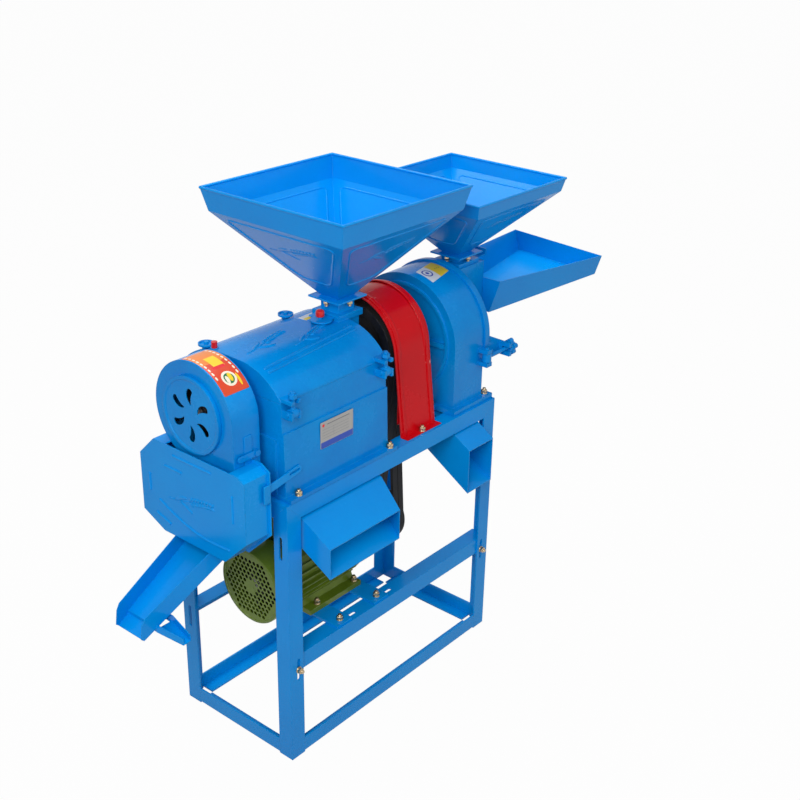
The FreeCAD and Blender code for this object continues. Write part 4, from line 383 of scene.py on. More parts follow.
class Paint(Enum):
    """Named finishes of the machine."""

    # The third colour of each finish is its edge colour: a paler copy that gives edge wear and a painted edge
    # highlight.
    SHEET = Finish("blue_sheet_enamel", (0.0, 0.325, 0.82), (0.0, 0.235, 0.70), (0.02, 0.46, 0.92),
                   roughness=0.24, coat=0.06, shine=0.12, drift_scale=3.5, waves=0.5, pits=0.02)
    CASTING = Finish("blue_casting_enamel", (0.0, 0.295, 0.75), (0.0, 0.20, 0.62), (0.02, 0.42, 0.87),
                     roughness=0.26, coat=0.06, shine=0.12, drift_scale=7.0, drift=0.7, waves=0.35,
                     peel=120.0, pits=0.22, height=0.0016, edge=0.0028)
    GUARD = ScratchedPaint("red_guard_enamel", (0.70, 0.002, 0.008), (0.50, 0.001, 0.005), (0.85, 0.18, 0.14),
                           roughness=0.26, coat=0.06, shine=0.12, drift_scale=5.0, drift=0.4, waves=0.5,
                           pits=0.02, wear_and_highlight=0.1)
    MOTOR = Finish("olive_motor_enamel", (0.155, 0.235, 0.016), (0.085, 0.14, 0.010), (0.55, 0.65, 0.38),
                   coat=0.1, shine=0.25, drift_scale=9.0, drift=0.8, waves=0.3, peel=180.0, pits=0.12, wear_and_highlight=0.5)
    IRON = Finish("dark_cast_iron", (0.045, 0.045, 0.05), (0.02, 0.02, 0.022), (0.28, 0.28, 0.28),
                  roughness=0.5, metallic=0.7, drift_scale=20.0, drift=0.8, waves=0.2, peel=160.0, pits=0.3,
                  height=0.0014)
    STEEL = Finish("turned_steel", (0.42, 0.42, 0.43), (0.27, 0.27, 0.28), (0.7, 0.7, 0.7), roughness=0.33,
                   metallic=1.0, shine=0.5, drift_scale=25.0, drift=0.7, waves=0.1, peel=500.0, pits=0.1,
                   height=0.0006)
    ZINC = Finish("yellow_zinc_plate", (0.60, 0.46, 0.24), (0.42, 0.34, 0.26), (0.8, 0.76, 0.66),
                  metallic=1.0, shine=0.5, drift_scale=60.0, drift=1.0, waves=0.1, peel=500.0, pits=0.1,
                  height=0.0005, edge=0.0006)
    RUBBER = BeltRubber("belt_rubber", (0.012, 0.012, 0.012), (0.006, 0.006, 0.006), (0.05, 0.05, 0.05),
                        roughness=0.7, drift_scale=30.0, waves=0.1, peel=600.0, pits=0.3, height=0.0008)
    CAP = Finish("red_plastic_cap", (0.75, 0.012, 0.01), (0.55, 0.008, 0.006), (0.9, 0.15, 0.1),
                 roughness=0.32, coat=0.4, drift_scale=40.0, waves=0.1, pits=0.03, height=0.0006)
    FAN = Finish("black_fan_plastic", (0.010, 0.010, 0.011), (0.006, 0.006, 0.006), (0.05, 0.05, 0.05),
                 roughness=0.55, drift_scale=30.0, waves=0.1, pits=0.1, height=0.0005)
    CROP_LABEL = PrintedLabel("crop_label_print", (0.72, 0.075, 0.02), (0.62, 0.05, 0.012), (0.9, 0.6, 0.5),
                              roughness=0.34, coat=0.2, waves=0.2, pits=0.01, height=0.0004, wear_and_highlight=0.15,
                              marks=CROP_MARKS)
    NAME_PLATE = PrintedLabel("silver_plate_print", (0.44, 0.43, 0.41), (0.34, 0.33, 0.32), (0.7, 0.7, 0.7),
                              roughness=0.38, metallic=0.35, shine=0.5, waves=0.1, pits=0.02, height=0.0004,
                              marks=PLATE_MARKS)
    SEAL = PrintedLabel("seal_label_print", PALE, (0.66, 0.68, 0.70), (0.9, 0.9, 0.9), roughness=0.34,
                        waves=0.1, pits=0.01, height=0.0004, wear_and_highlight=0.1, marks=SEAL_MARKS)
    SMALL_SEAL = replace(SEAL, name="small_seal_print", marks=SMALL_MARKS)


NODE_PAINT = {
    Paint.CASTING: ("mill_body", "mill_cover", "blower_casing", "crusher_housing", "crusher_door",
                    "casing_latch", "blower_inlet_cover", "ring_nuts", "swing_bolt_left", "swing_bolt_right",
                    "door_swing_bolt", "star_nut"),
    Paint.GUARD: ("belt_guard",),
    Paint.MOTOR: ("motor_housing", "motor_end_shields", "motor_fan_cover", "terminal_box"),
    Paint.IRON: ("milling_roller", "crusher_rotor", "mill_bearings", "mill_pulley", "crusher_pulley",
                 "motor_pulley", "blower_impeller"),
    Paint.STEEL: ("motor_shaft", "mill_spindle", "crusher_spindle", "mill_screen", "crusher_sieve"),
    Paint.ZINC: ("zinc_bolts",),
    Paint.RUBBER: ("mill_drive_belts", "crusher_drive_belts"),
    Paint.CAP: ("filler_cap",),
    Paint.FAN: ("motor_fan",),
}


def paint_nodes() -> None:
    """Paint every CAD node: blue sheet enamel unless it is named with another finish."""
    named = {node: paint for paint, nodes in NODE_PAINT.items() for node in nodes}
    for node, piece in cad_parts.items():
        piece.data.materials.clear()
        piece.data.materials.append(named.get(node, Paint.SHEET).value.material())


# Shapes

def box_of(node: str) -> tuple[np.ndarray, np.ndarray]:
    """Return a CAD node's lowest and highest corner as arrays."""
    low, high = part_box(node)
    return np.array(low), np.array(high)


def mesh_piece(name: str, points: np.ndarray, faces: np.ndarray | list, paint: Paint,
               body: str = STAND) -> bpy.types.Object:
    """Make a piece that rides on a body and is shaded smooth, but for its sharp edges.

    Args:
        name: the piece's name.
        points: an array of points, in metres.
        faces: corner numbers of each face.
        paint: its finish.
        body: the body it rides on.

    Returns:
        The new object.
    """
    smooth_up_to = math.radians(40)
    mesh = bpy.data.meshes.new(name)
    mesh.from_pydata(np.asarray(points, float).reshape(-1, 3).tolist(), [],
                     faces if isinstance(faces, list) else faces.tolist())
    mesh.validate()
    piece = bpy.data.objects.new(name, mesh)
    bpy.context.scene.collection.objects.link(piece)
    mesh.materials.append(paint.value.material())
    mesh.polygons.foreach_set("use_smooth", np.ones(len(mesh.polygons), bool))
    mesh.set_sharp_from_angle(angle=smooth_up_to)
    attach(piece, body)
    log.info("%s: %d faces", name, len(mesh.polygons))
    return piece


def grid_faces(rows: int, columns: int, wrap_rows: bool = False, wrap_columns: bool = False) -> np.ndarray:
    """Number the quads of a grid of points.

    Args:
        rows: how many rows of points.
        columns: how many points in a row.
        wrap_rows: whether the last row joins the first.
        wrap_columns: whether the last column joins the first.

    Returns:
        An array of quads.
    """
    row = np.arange(rows if wrap_rows else rows - 1)[:, None]
    column = np.arange(columns if wrap_columns else columns - 1)[None, :]
    down, right = (row + 1) % rows, (column + 1) % columns
    quads = np.stack([row * columns + column, down * columns + column, down * columns + right,
                      row * columns + right], axis=-1)
    return quads.reshape(-1, 4)


def merged(parts: Sequence[tuple[np.ndarray, np.ndarray]]) -> tuple[np.ndarray, np.ndarray]:
    """Join shapes of quads into one.

    Args:
        parts: each shape's points and faces.

    Returns:
        All the points, and the faces with their corners renumbered.
    """
    points = [np.reshape(shape, (-1, 3)) for shape, _ in parts]
    starts = np.cumsum([0] + [len(shape) for shape in points])
    return np.concatenate(points), np.concatenate([quads + start for (_, quads), start in zip(parts, starts)])


@dataclass(frozen=True)
class Face:
    """A flat face of the machine: a point on it and two directions in it; its normal points outwards."""

    origin: np.ndarray
    across: np.ndarray
    up: np.ndarray

    @property
    def normal(self) -> np.ndarray:
        """Return the direction out of the face."""
        out = np.cross(self.across, self.up)
        return out / np.linalg.norm(out)

    def at(self, plan: np.ndarray, height: np.ndarray | float = 0.0) -> np.ndarray:
        """Lift points of the face's own plan, and heights above it, into space."""
        plan = np.asarray(plan, float)
        height = np.broadcast_to(np.asarray(height, float), plan.shape[:-1])
        return (self.origin + plan[..., :1] * self.across + plan[..., 1:2] * self.up
                + height[..., None] * self.normal)


@dataclass(frozen=True)
class Arch:
    """A bent face along X: flat on top, round to both sides and straight below a quarter turn.

    Its plan runs along X from the arch's own x, and across it, where the second number is the length along
    the bent section from the top; the arch turns about a line at height z.
    """

    x: float
    z: float
    radius: float
    flat: float = 0.0

    def at(self, plan: np.ndarray, height: np.ndarray | float = 0.0) -> np.ndarray:
        """Lift points of the plan into space.

        What is left of the second number past the flat part, over the radius, is the turn; past a quarter
        turn the rest goes on straight along the last direction.

        Args:
            plan: an array of plan points.
            height: how far they stand out.

        Returns:
            The points.
        """
        plan = np.asarray(plan, float)
        side = np.clip(plan[..., 1], -self.flat, self.flat)
        rest = plan[..., 1] - side
        turn = np.clip(rest / self.radius, -math.pi / 2, math.pi / 2)
        reach, past = self.radius + np.asarray(height, float), rest - turn * self.radius
        return np.stack([self.x + plan[..., 0], side + np.sin(turn) * reach + np.cos(turn) * past,
                         self.z + np.cos(turn) * reach - np.sin(turn) * past], axis=-1)


def denser(plan: np.ndarray, gap: float, closed: bool) -> np.ndarray:
    """Return a plan line with points at most a gap apart, spaced evenly along each of its parts."""
    plan = np.asarray(plan, float)
    line = np.concatenate([plan, plan[:1]]) if closed else plan
    far = np.concatenate([[0.0], np.cumsum(np.linalg.norm(np.diff(line, axis=0), axis=1))])
    spots = [np.linspace(far[k], far[k + 1], max(1, math.ceil((far[k + 1] - far[k]) / gap)), endpoint=False)
             for k in range(len(far) - 1)]
    spots = np.concatenate(spots + ([] if closed else [far[-1:]]))
    return np.stack([np.interp(spots, far, line[:, k]) for k in (0, 1)], axis=1)


def rounded_loop(corners: Sequence[Sequence[float]], radius: float, steps: int = 6) -> np.ndarray:
    """Round the corners of a closed outline.

    Each corner is swapped for a quadratic curve between the points that lie one radius away along
    both of its sides.

    Args:
        corners: plan points.
        radius: how far from a corner its curve starts.
        steps: points in each curve.

    Returns:
        The plan points of the loop.
    """
    corner = np.asarray(corners, float)
    before, after = np.roll(corner, 1, 0) - corner, np.roll(corner, -1, 0) - corner
    start = corner + radius * before / np.linalg.norm(before, axis=1, keepdims=True)
    end = corner + radius * after / np.linalg.norm(after, axis=1, keepdims=True)
    t = np.linspace(0, 1, steps)[None, :, None]
    curve = (1 - t) ** 2 * start[:, None] + 2 * t * (1 - t) * corner[:, None] + t ** 2 * end[:, None]
    return curve.reshape(-1, 2)


def side_steps(plan: np.ndarray, closed: bool) -> np.ndarray:
    """Return, for each point of a plan line, the mitred step to its left."""
    tiny, sharpest = 1e-9, 0.4
    ahead = np.roll(plan, -1, 0) - plan
    behind = plan - np.roll(plan, 1, 0)
    if not closed:
        ahead[-1], behind[0] = behind[-1], ahead[0]
    unit = [step / np.maximum(np.linalg.norm(step, axis=1, keepdims=True), tiny) for step in (ahead, behind)]
    mean = unit[0] + unit[1]
    mean /= np.maximum(np.linalg.norm(mean, axis=1, keepdims=True), tiny)
    stretch = 1 / np.maximum((mean * unit[0]).sum(1, keepdims=True), sharpest)
    return np.stack([-mean[:, 1], mean[:, 0]], axis=1) * stretch


def ridge(name: str, face: Face | Arch, plan: np.ndarray, width: float, height: float, paint: Paint,
          closed: bool = True) -> bpy.types.Object:
    """Press a rounded bead along a line on a face, with its edges just below the face.

    Its section is half a cosine wave: height times the cosine from minus to plus a quarter turn. An open
    bead runs out to a small tip at both ends.

    Args:
        name: the piece's name.
        face: the face that carries it.
        plan: points of its middle line.
        width: the bead's width.
        height: the bead's height.
        paint: its finish.
        closed: whether the line is a loop.

    Returns:
        The bead.
    """
    sunk, run_out, tip = 0.0006, 0.35, 0.12
    plan = np.asarray(plan, float)
    angle = np.linspace(-math.pi / 2, math.pi / 2, 7)
    offset, rise = np.sin(angle) * width / 2, np.cos(angle) * (height + sunk) - sunk
    if not closed:
        first, last = plan[1] - plan[0], plan[-1] - plan[-2]
        plan = np.concatenate([plan[:1], plan[:1] + first / np.linalg.norm(first) * run_out * width, plan[1:-1],
                               plan[-1:] - last / np.linalg.norm(last) * run_out * width, plan[-1:]])
    taper = np.ones((len(plan), 1))
    if not closed:
        taper[[0, -1]] = tip
    spots = plan[:, None] + side_steps(plan, closed)[:, None] * (offset * taper)[..., None]
    top = face.at(spots, rise * taper - sunk * (1 - taper))
    under = np.stack([face.at(spots[:, 0], -sunk), face.at(spots[:, -1], -sunk)], axis=1)
    points, faces = merged([(top, grid_faces(len(plan), len(angle), wrap_rows=closed)[:, ::-1]),
                            (under, grid_faces(len(plan), 2, wrap_rows=closed))])
    return mesh_piece(name, points, faces, paint)


def oblong(left: float, right: float, low: float, high: float) -> list[Point]:
    """Return the corners of an oblong, anticlockwise."""
    return [(left, low), (right, low), (right, high), (left, high)]


def slab(name: str, face: Face | Arch, corners: Sequence[Point], height: float, edge: float, paint: Paint,
         radius: float = 0.002, steps: int = 3) -> bpy.types.Object:
    """Lay a low plate with a rounded edge on a face, with its plan kept as a UV map.

    Its points are rings: the outline times shares of its distance from the middle, at heights that rise over
    the edge as a quarter circle. Its underside lies just below the face.

    Args:
        name: the piece's name.
        face: the face that carries it.
        corners: its outline's corners, anticlockwise.
        height: how far its top stands out.
        edge: the radius of its edge.
        paint: its finish.
        radius: how far from a corner its rounding starts.
        steps: points in each rounded corner.

    Returns:
        The plate.
    """
    sunk, longest, inner_shares = 0.0004, 0.006, (0.86, 0.7, 0.52, 0.34, 0.16)
    loop = denser(rounded_loop(corners, radius, steps), longest, True)
    middle = (loop.min(0) + loop.max(0)) / 2
    reach = np.linalg.norm(loop - middle, axis=1).min()
    rings = [(1.0, -sunk), (1.0, height - edge), (1 - 0.3 * edge / reach, height - 0.3 * edge),
             (1 - edge / reach, height)] + [(share, height) for share in inner_shares]
    plan = np.array([middle + (loop - middle) * share for share, _ in rings])
    points = face.at(plan, np.array([rise for _, rise in rings])[:, None])
    count = len(loop)
    last = len(rings) * count
    here = np.arange(count)
    after = (here + 1) % count
    faces = grid_faces(len(rings), count, wrap_columns=True)[:, ::-1].tolist()
    faces += np.stack([last - count + here, last - count + after, np.full(count, last)], axis=1).tolist()
    faces += np.stack([after, here, np.full(count, last + 1)], axis=1).tolist()
    ends = [face.at(middle[None], height), face.at(middle[None], -sunk)]
    piece = mesh_piece(name, np.concatenate([points.reshape(-1, 3), *ends]), faces, paint)
    flat = np.concatenate([plan.reshape(-1, 2), middle[None], middle[None]]) - middle
    numbers = np.zeros(len(piece.data.loops), int)
    piece.data.loops.foreach_get("vertex_index", numbers)
    piece.data.uv_layers.new(name="plan").data.foreach_set("uv", flat[numbers].ravel())
    return piece


def ear_height(x: np.ndarray, y: np.ndarray, size: float) -> np.ndarray:
    """Height from 0 to 1 of a plain ear of grain with two leaves.

    The stem is y = bow size sin(pi x / size). Each grain is a dome over an ellipse: the square root of one
    less the squares of both distances over its half axes. A leaf or the stem is as high as 1.2 less the
    distance from its middle line over its half width, which swells as a sine along a leaf.

    Args:
        x: plan positions along the ear, from minus to plus half its size.
        y: plan positions across it.
        size: its length.

    Returns:
        An array of heights.
    """
    def stroke(px: np.ndarray, py: np.ndarray, half: np.ndarray) -> np.ndarray:
        """Return the height under one stroke of centre points and half widths."""
        far = np.hypot(x[..., None] - px, y[..., None] - py) / half
        return np.clip(1.2 - far.min(axis=-1), 0, 0.8)

    bow, grain, leaf = 0.09, (0.052 * size, 0.023 * size), 0.30 * size
    bend = bow * size
    s = np.linspace(0, 1, 40)
    stem = (s - 0.5) * size * 0.96
    result = stroke(stem, bend * np.sin(math.pi * stem / size), np.full(len(s), 0.011 * size))
    for along, side in ((-0.34, 1), (-0.22, -1)):
        lean = math.radians(30) * side
        leaf_x = along * size + leaf * s * math.cos(lean)
        leaf_y = bend * math.sin(math.pi * along) + leaf * s * math.sin(lean) * (1.25 - 0.5 * s)
        half = 0.004 * size + 0.030 * size * np.sin(math.pi * s)
        result = np.maximum(result, stroke(leaf_x, leaf_y, half))
    for place, along in enumerate(np.linspace(0.02, 0.47, 8)):
        tangent = math.atan(bow * math.pi * math.cos(math.pi * along))
        for side in (-1, 1):
            lean = tangent + side * math.radians(26)
            spread = 0.042 * size * (1 - 0.05 * place)
            middle_x = along * size - side * spread * math.sin(tangent)
            middle_y = bend * math.sin(math.pi * along) + side * spread * math.cos(tangent)
            u = (x - middle_x) * math.cos(lean) + (y - middle_y) * math.sin(lean)
            v = (y - middle_y) * math.cos(lean) - (x - middle_x) * math.sin(lean)
            dome = 1 - (u / grain[0]) ** 2 - (v / grain[1]) ** 2
            result = np.maximum(result, np.sqrt(np.clip(dome, 0, 1)))
    return result


def relief(name: str, face: Face | Arch, middle: Sequence[float], size: float, rise: float, paint: Paint,
           turn: float = 0.0) -> bpy.types.Object:
    """Raise an ear of grain from a face; the flat part of its patch lies just below the face.

    Args:
        name: the piece's name.
        face: the face that carries it.
        middle: the plan point of its middle.
        size: its length.
        rise: how high it stands.
        paint: its finish.
        turn: its turn in the face, in degrees.

    Returns:
        The relief.
    """
    sunk, cells, half_length, half_width = 0.0005, (120, 66), 0.55, 0.30
    x, y = np.meshgrid(*(np.linspace(-half * size, half * size, count)
                         for half, count in zip((half_length, half_width), cells)), indexing="ij")
    height = ear_height(x, y, size) * (rise + sunk) - sunk
    angle = math.radians(turn)
    plan = np.stack([middle[0] + x * math.cos(angle) - y * math.sin(angle),
                     middle[1] + x * math.sin(angle) + y * math.cos(angle)], axis=-1)
    return mesh_piece(name, face.at(plan, height), grid_faces(*cells), paint)


def turned(axis: str, profile: Sequence[Point], sides: int) -> tuple[np.ndarray, np.ndarray]:
    """Turn a closed profile about an axis: a point's place is its radius times the turn's cosine and sine.

    Args:
        axis: "x", "y" or "z", through the origin.
        profile: closed (along, radius) points.
        sides: how many steps round the axis.

    Returns:
        The points and the quads.
    """
    profile = np.asarray(profile, float)
    angle = np.arange(sides) / sides * math.tau
    along, radius = profile[None, :, 0], profile[None, :, 1]
    u, v = radius * np.cos(angle)[:, None], radius * np.sin(angle)[:, None]
    w = np.broadcast_to(along, u.shape)
    order = {"x": (w, u, v), "y": (v, w, u), "z": (u, v, w)}[axis]
    return np.stack(order, axis=-1).reshape(-1, 3), grid_faces(sides, len(profile), True, True)


def fasteners(name: str, seats: Sequence[tuple[np.ndarray, str, float]], scale: float = 1.0) -> bpy.types.Object:
    """Set zinc-plated studs with washer, spring washer, chamfered nut and thread.

    Args:
        name: the piece's name.
        seats: for each, the middle of its seat, its axis and plus or minus one for the way it points.
        scale: the washers' and nuts' size against a full bolt.

    Returns:
        The piece that holds them all.
    """
    nut, washer, bore = 0.0075 * scale, 0.008 * scale, 0.004
    sections = [
        ([(0, bore), (0, washer), (0.0004, washer), (0.0016, washer - 0.0006), (0.0016, bore)], 20),
        ([(0.0016, bore), (0.0016, washer * 0.8), (0.0032, washer * 0.8), (0.0032, bore)], 20),
        ([(0.0032, 0.003), (0.0032, nut * 0.9), (0.0039, nut), (0.0085, nut), (0.0094, nut * 0.86),
          (0.0094, 0.003)], 6),
        ([(0.009, 0.0005)] + [(0.009 + 0.00075 * k, 0.0042 - 0.0005 * (k % 2)) for k in range(7)]
         + [(0.0141, 0.0028), (0.0141, 0.0005)], 14)]
    parts = []
    for spot, axis, sign in seats:
        for profile, sides in sections:
            shape, quads = turned(axis, np.asarray(profile, float) * [sign, 1.0], sides)
            parts.append((shape + spot, quads if sign > 0 else quads[:, ::-1]))
    return mesh_piece(name, *merged(parts), Paint.ZINC)


# Sub-assemblies

@dataclass
class HopperTrim:
    """Pressed panels, ears of grain and flange studs on a sheet-metal hopper with four sloping sides."""

    node: str
    collar: float
    step: float
    seat: float
    shift: float = 0.0
    neck: float = 0.0255
    rim: float = 0.0015
    wall: float = 0.0020
    flange: float = 0.004
    stud_line: float = 0.035
    stud_scale: float = 0.85
    border: float = 0.018
    panel_low: float = 0.24
    panel_corner: float = 0.020
    bead: float = 0.0055
    rise: float = 0.0018
    inner_rise: float = 0.0012
    ear_place: Point = (0.66, 0.68)
    ear_size: float = 0.60
    ear_rise: float = 0.0017

    def faces(self) -> list[tuple[str, Face, float, float, float]]:
        """Return each sloping side: its name, face, half width at the collar, length and sideways drift."""
        low, high = box_of(self.node)
        wide = (high[1] - low[1]) / 2 - self.rim - self.step
        crown = np.array([(low[0] + high[0]) / 2, 0.0, high[2] - self.collar])
        neck = np.array([crown[0] - self.shift, 0.0, low[2] + self.seat])
        sides = []
        for name, out, along in (("front", -Y, X), ("rear", Y, -X), ("left", -X, -Y), ("right", X, Y)):
            start = neck + out * self.neck
            slope = crown + out * wide - start
            drift = float(slope @ along)
            slope = slope - drift * along
            length = float(np.linalg.norm(slope))
            sides.append((name, Face(start, along, slope / length), wide, length, drift / length))
        return sides

    def build(self) -> None:
        """Press a rounded panel and an ear of grain into each side and hang the studs under the flange."""
        for name, face, wide, length, drift in self.faces():
            low, high = length * self.panel_low, length - self.border
            corners = []
            for side, height in ((-1, low), (1, low), (1, high), (-1, high)):
                edge = self.neck + (wide - self.neck) * height / length - self.border * 1.25
                corners.append((side * edge + drift * height, height))
            inner = Face(face.origin - face.normal * self.wall, -face.across, face.up)
            mirrored = (np.array(corners) * [-1, 1])[::-1]
            ridge(f"{self.node}_{name}_panel", face, rounded_loop(corners, self.panel_corner), self.bead,
                  self.rise, Paint.SHEET)
            ridge(f"{self.node}_{name}_inner_panel", inner, rounded_loop(mirrored, self.panel_corner), self.bead,
                  self.inner_rise, Paint.SHEET)
            along, up = self.ear_place
            relief(f"{self.node}_{name}_ear", face, (drift * length * along, length * up),
                   length * self.ear_size, self.ear_rise, Paint.SHEET)
        self.studs()

    def studs(self) -> None:
        """Hang one stud under the middle of each side of the flange, beside the neck."""
        low, high = box_of(self.node)
        middle = np.array([(low[0] + high[0]) / 2 - self.shift, 0.0, low[2] + self.seat - self.flange])
        seats = [(middle + step * self.stud_line, "z", -1.0) for step in (X, Y, -X, -Y)]
        fasteners(f"{self.node}_flange_studs", seats, self.stud_scale)


@dataclass
class BlowerDress:
    """Printed label round the blower's band, and the strap and hasp on its near side."""

    label_turn: Point = (-0.1077, 0.0316)
    label_inset: float = 0.003
    strap: Oblong = (-0.4095, -0.3885, 0.718, 0.806)
    hasp: Oblong = (-0.4085, -0.3905, 0.672, 0.713)

    def build(self) -> None:
        """Lay the label on the round band and the strap and hasp on the flat sides."""
        low, high = box_of("blower_casing")
        inlet_low, inlet_high = box_of("blower_inlet_cover")
        axis = (inlet_low[2] + inlet_high[2]) / 2
        band = Arch((low[0] + high[0]) / 2, axis, high[2] - axis)
        half = (high[0] - low[0]) / 2 - self.label_inset
        slab("blower_label", band, oblong(-half, half, *self.label_turn), 0.0005, 0.0003, Paint.CROP_LABEL)
        side = Face(-band.radius * Y, X, Z)
        slab("blower_strap", side, oblong(*self.strap), 0.0021, 0.0005, Paint.CASTING, 0.0035, 6)
        front = Face(box_of("aspirator_box")[0] * Y, X, Z)
        slab("box_hasp", front, oblong(*self.hasp), 0.0026, 0.0006, Paint.CASTING, 0.003, 6)


@dataclass
class BoxCoverDress:
    """Beads, and an ear of grain on the eight-sided cover of the aspirator box."""

    bead: float = 0.0065
    rise: float = 0.0030
    ear_size: float = 0.14
    ear_rise: float = 0.0028
    ear_shift: float = -0.004

    def build(self) -> None:
        """Press the lines into the cover's front."""
        low, high = box_of("aspirator_cover")
        front = Face(low * X, -Y, Z)
        lines = {"top": [(-0.054, 0.7255), (0.063, 0.7255)], "second": [(-0.082, 0.694), (-0.026, 0.694)],
                 "far": [(-0.130, 0.661), (-0.130, 0.617)], "near": [(0.121, 0.697), (0.121, 0.632)],
                 "low": [(-0.116, 0.5725), (-0.0695, 0.5575)]}
        for name, line in lines.items():
            ridge(f"box_cover_{name}_bead", front, line, self.bead, self.rise, Paint.SHEET, closed=False)
        swing = np.linspace(0, 1, 24)
        sag = np.stack([-0.105 + 0.215 * swing, 0.607 - 0.040 * swing - 0.018 * np.sin(math.pi * swing)], axis=1)
        ridge("box_cover_swept_bead", front, sag, self.bead, self.rise, Paint.SHEET, closed=False)
        relief("box_cover_ear", front, (self.ear_shift, (low[2] + high[2]) / 2 + self.ear_shift), self.ear_size,
               self.ear_rise, Paint.SHEET)


@dataclass
class MillDress:
    """Edge ridges and cast ears of grain on the mill's cover, its plates and the red knob of its feed gate."""

    crown: float = 0.925
    radius: float = 0.145
    flat: float = 0.030
    near_side: float = 0.1545
    ridges: tuple = (((-0.322, -0.0855), (-0.040, -0.0640)), ((-0.322, -0.0975), (-0.040, -0.0780)))
    ears: tuple = (((-0.240, -0.004), 0.14, 4.0), ((-0.145, -0.040), 0.13, 6.0))
    ear_rise: float = 0.0034
    seal: tuple = ((-0.094, 0.0196), (-0.046, 0.0216), (-0.052, 0.0456), (-0.096, 0.044))
    plate: Oblong = (-0.236, -0.137, 0.727, 0.787)
    knob: Point = (-0.080, -0.008)
    knob_profile: tuple = ((-0.0130, 0.0), (-0.0130, 0.0078), (-0.0120, 0.0092), (-0.0040, 0.0096),
                           (0.0, 0.0088), (0.0022, 0.0060), (0.0030, 0.0))

    def build(self) -> None:
        """Dress the cover's top, the mill's near side and the gate."""
        shell = Arch(0.0, self.crown - self.radius, self.radius, self.flat)
        for name, line in zip(("upper", "lower"), self.ridges):
            ridge(f"cover_{name}_ridge", shell, denser(line, 0.01, False), 0.007, 0.0022, Paint.CASTING,
                  closed=False)
        for name, (middle, size, turn) in zip(("left", "right"), self.ears):
            relief(f"cover_{name}_ear", shell, middle, size, self.ear_rise, Paint.CASTING, turn)
        slab("cover_seal", shell, self.seal, 0.0004, 0.0002, Paint.SMALL_SEAL, 0.0015)
        near = Face(-self.near_side * Y, X, Z)
        slab("name_plate", near, oblong(*self.plate), 0.0008, 0.0003, Paint.NAME_PLATE)
        points, faces = turned("z", self.knob_profile, 32)
        points += (*self.knob, box_of("mill_feed_gate")[1][2])
        mesh_piece("gate_knob", points, faces, Paint.CAP, "mill_gate")


@dataclass
class CrusherDress:
    """The seal on the crusher's round band."""

    axis: float = 0.806
    radius: float = 0.151
    seal: tuple = ((0.318, 0.008), (0.318, -0.047), (0.240, -0.0635), (0.240, -0.0093))

    def build(self) -> None:
        """Lay the seal on the band."""
        slab("crusher_seal", Arch(0.0, self.axis, self.radius), self.seal, 0.0005, 0.0003, Paint.SEAL)


@dataclass
class GuardDress:
    """Two pressed beads along the belt guard's bent band."""

    radius: float = 0.122
    bead: float = 0.010
    rise: float = 0.002
    inset: float = 0.017
    foot_gap: float = 0.020

    def build(self) -> None:
        """Carry both beads from the near foot over the crown to the rear one."""
        low, high = box_of("belt_guard")
        axis = high[2] - self.radius
        shell = Arch(0.0, axis, self.radius)
        reach = math.pi / 2 * self.radius + axis - low[2] - self.foot_gap
        for name, x in (("left", low[0] + self.inset), ("right", high[0] - self.inset)):
            line = denser([(x, -reach), (x, reach)], 0.008, False)
            ridge(f"guard_{name}_bead", shell, line, self.bead, self.rise, Paint.GUARD, closed=False)


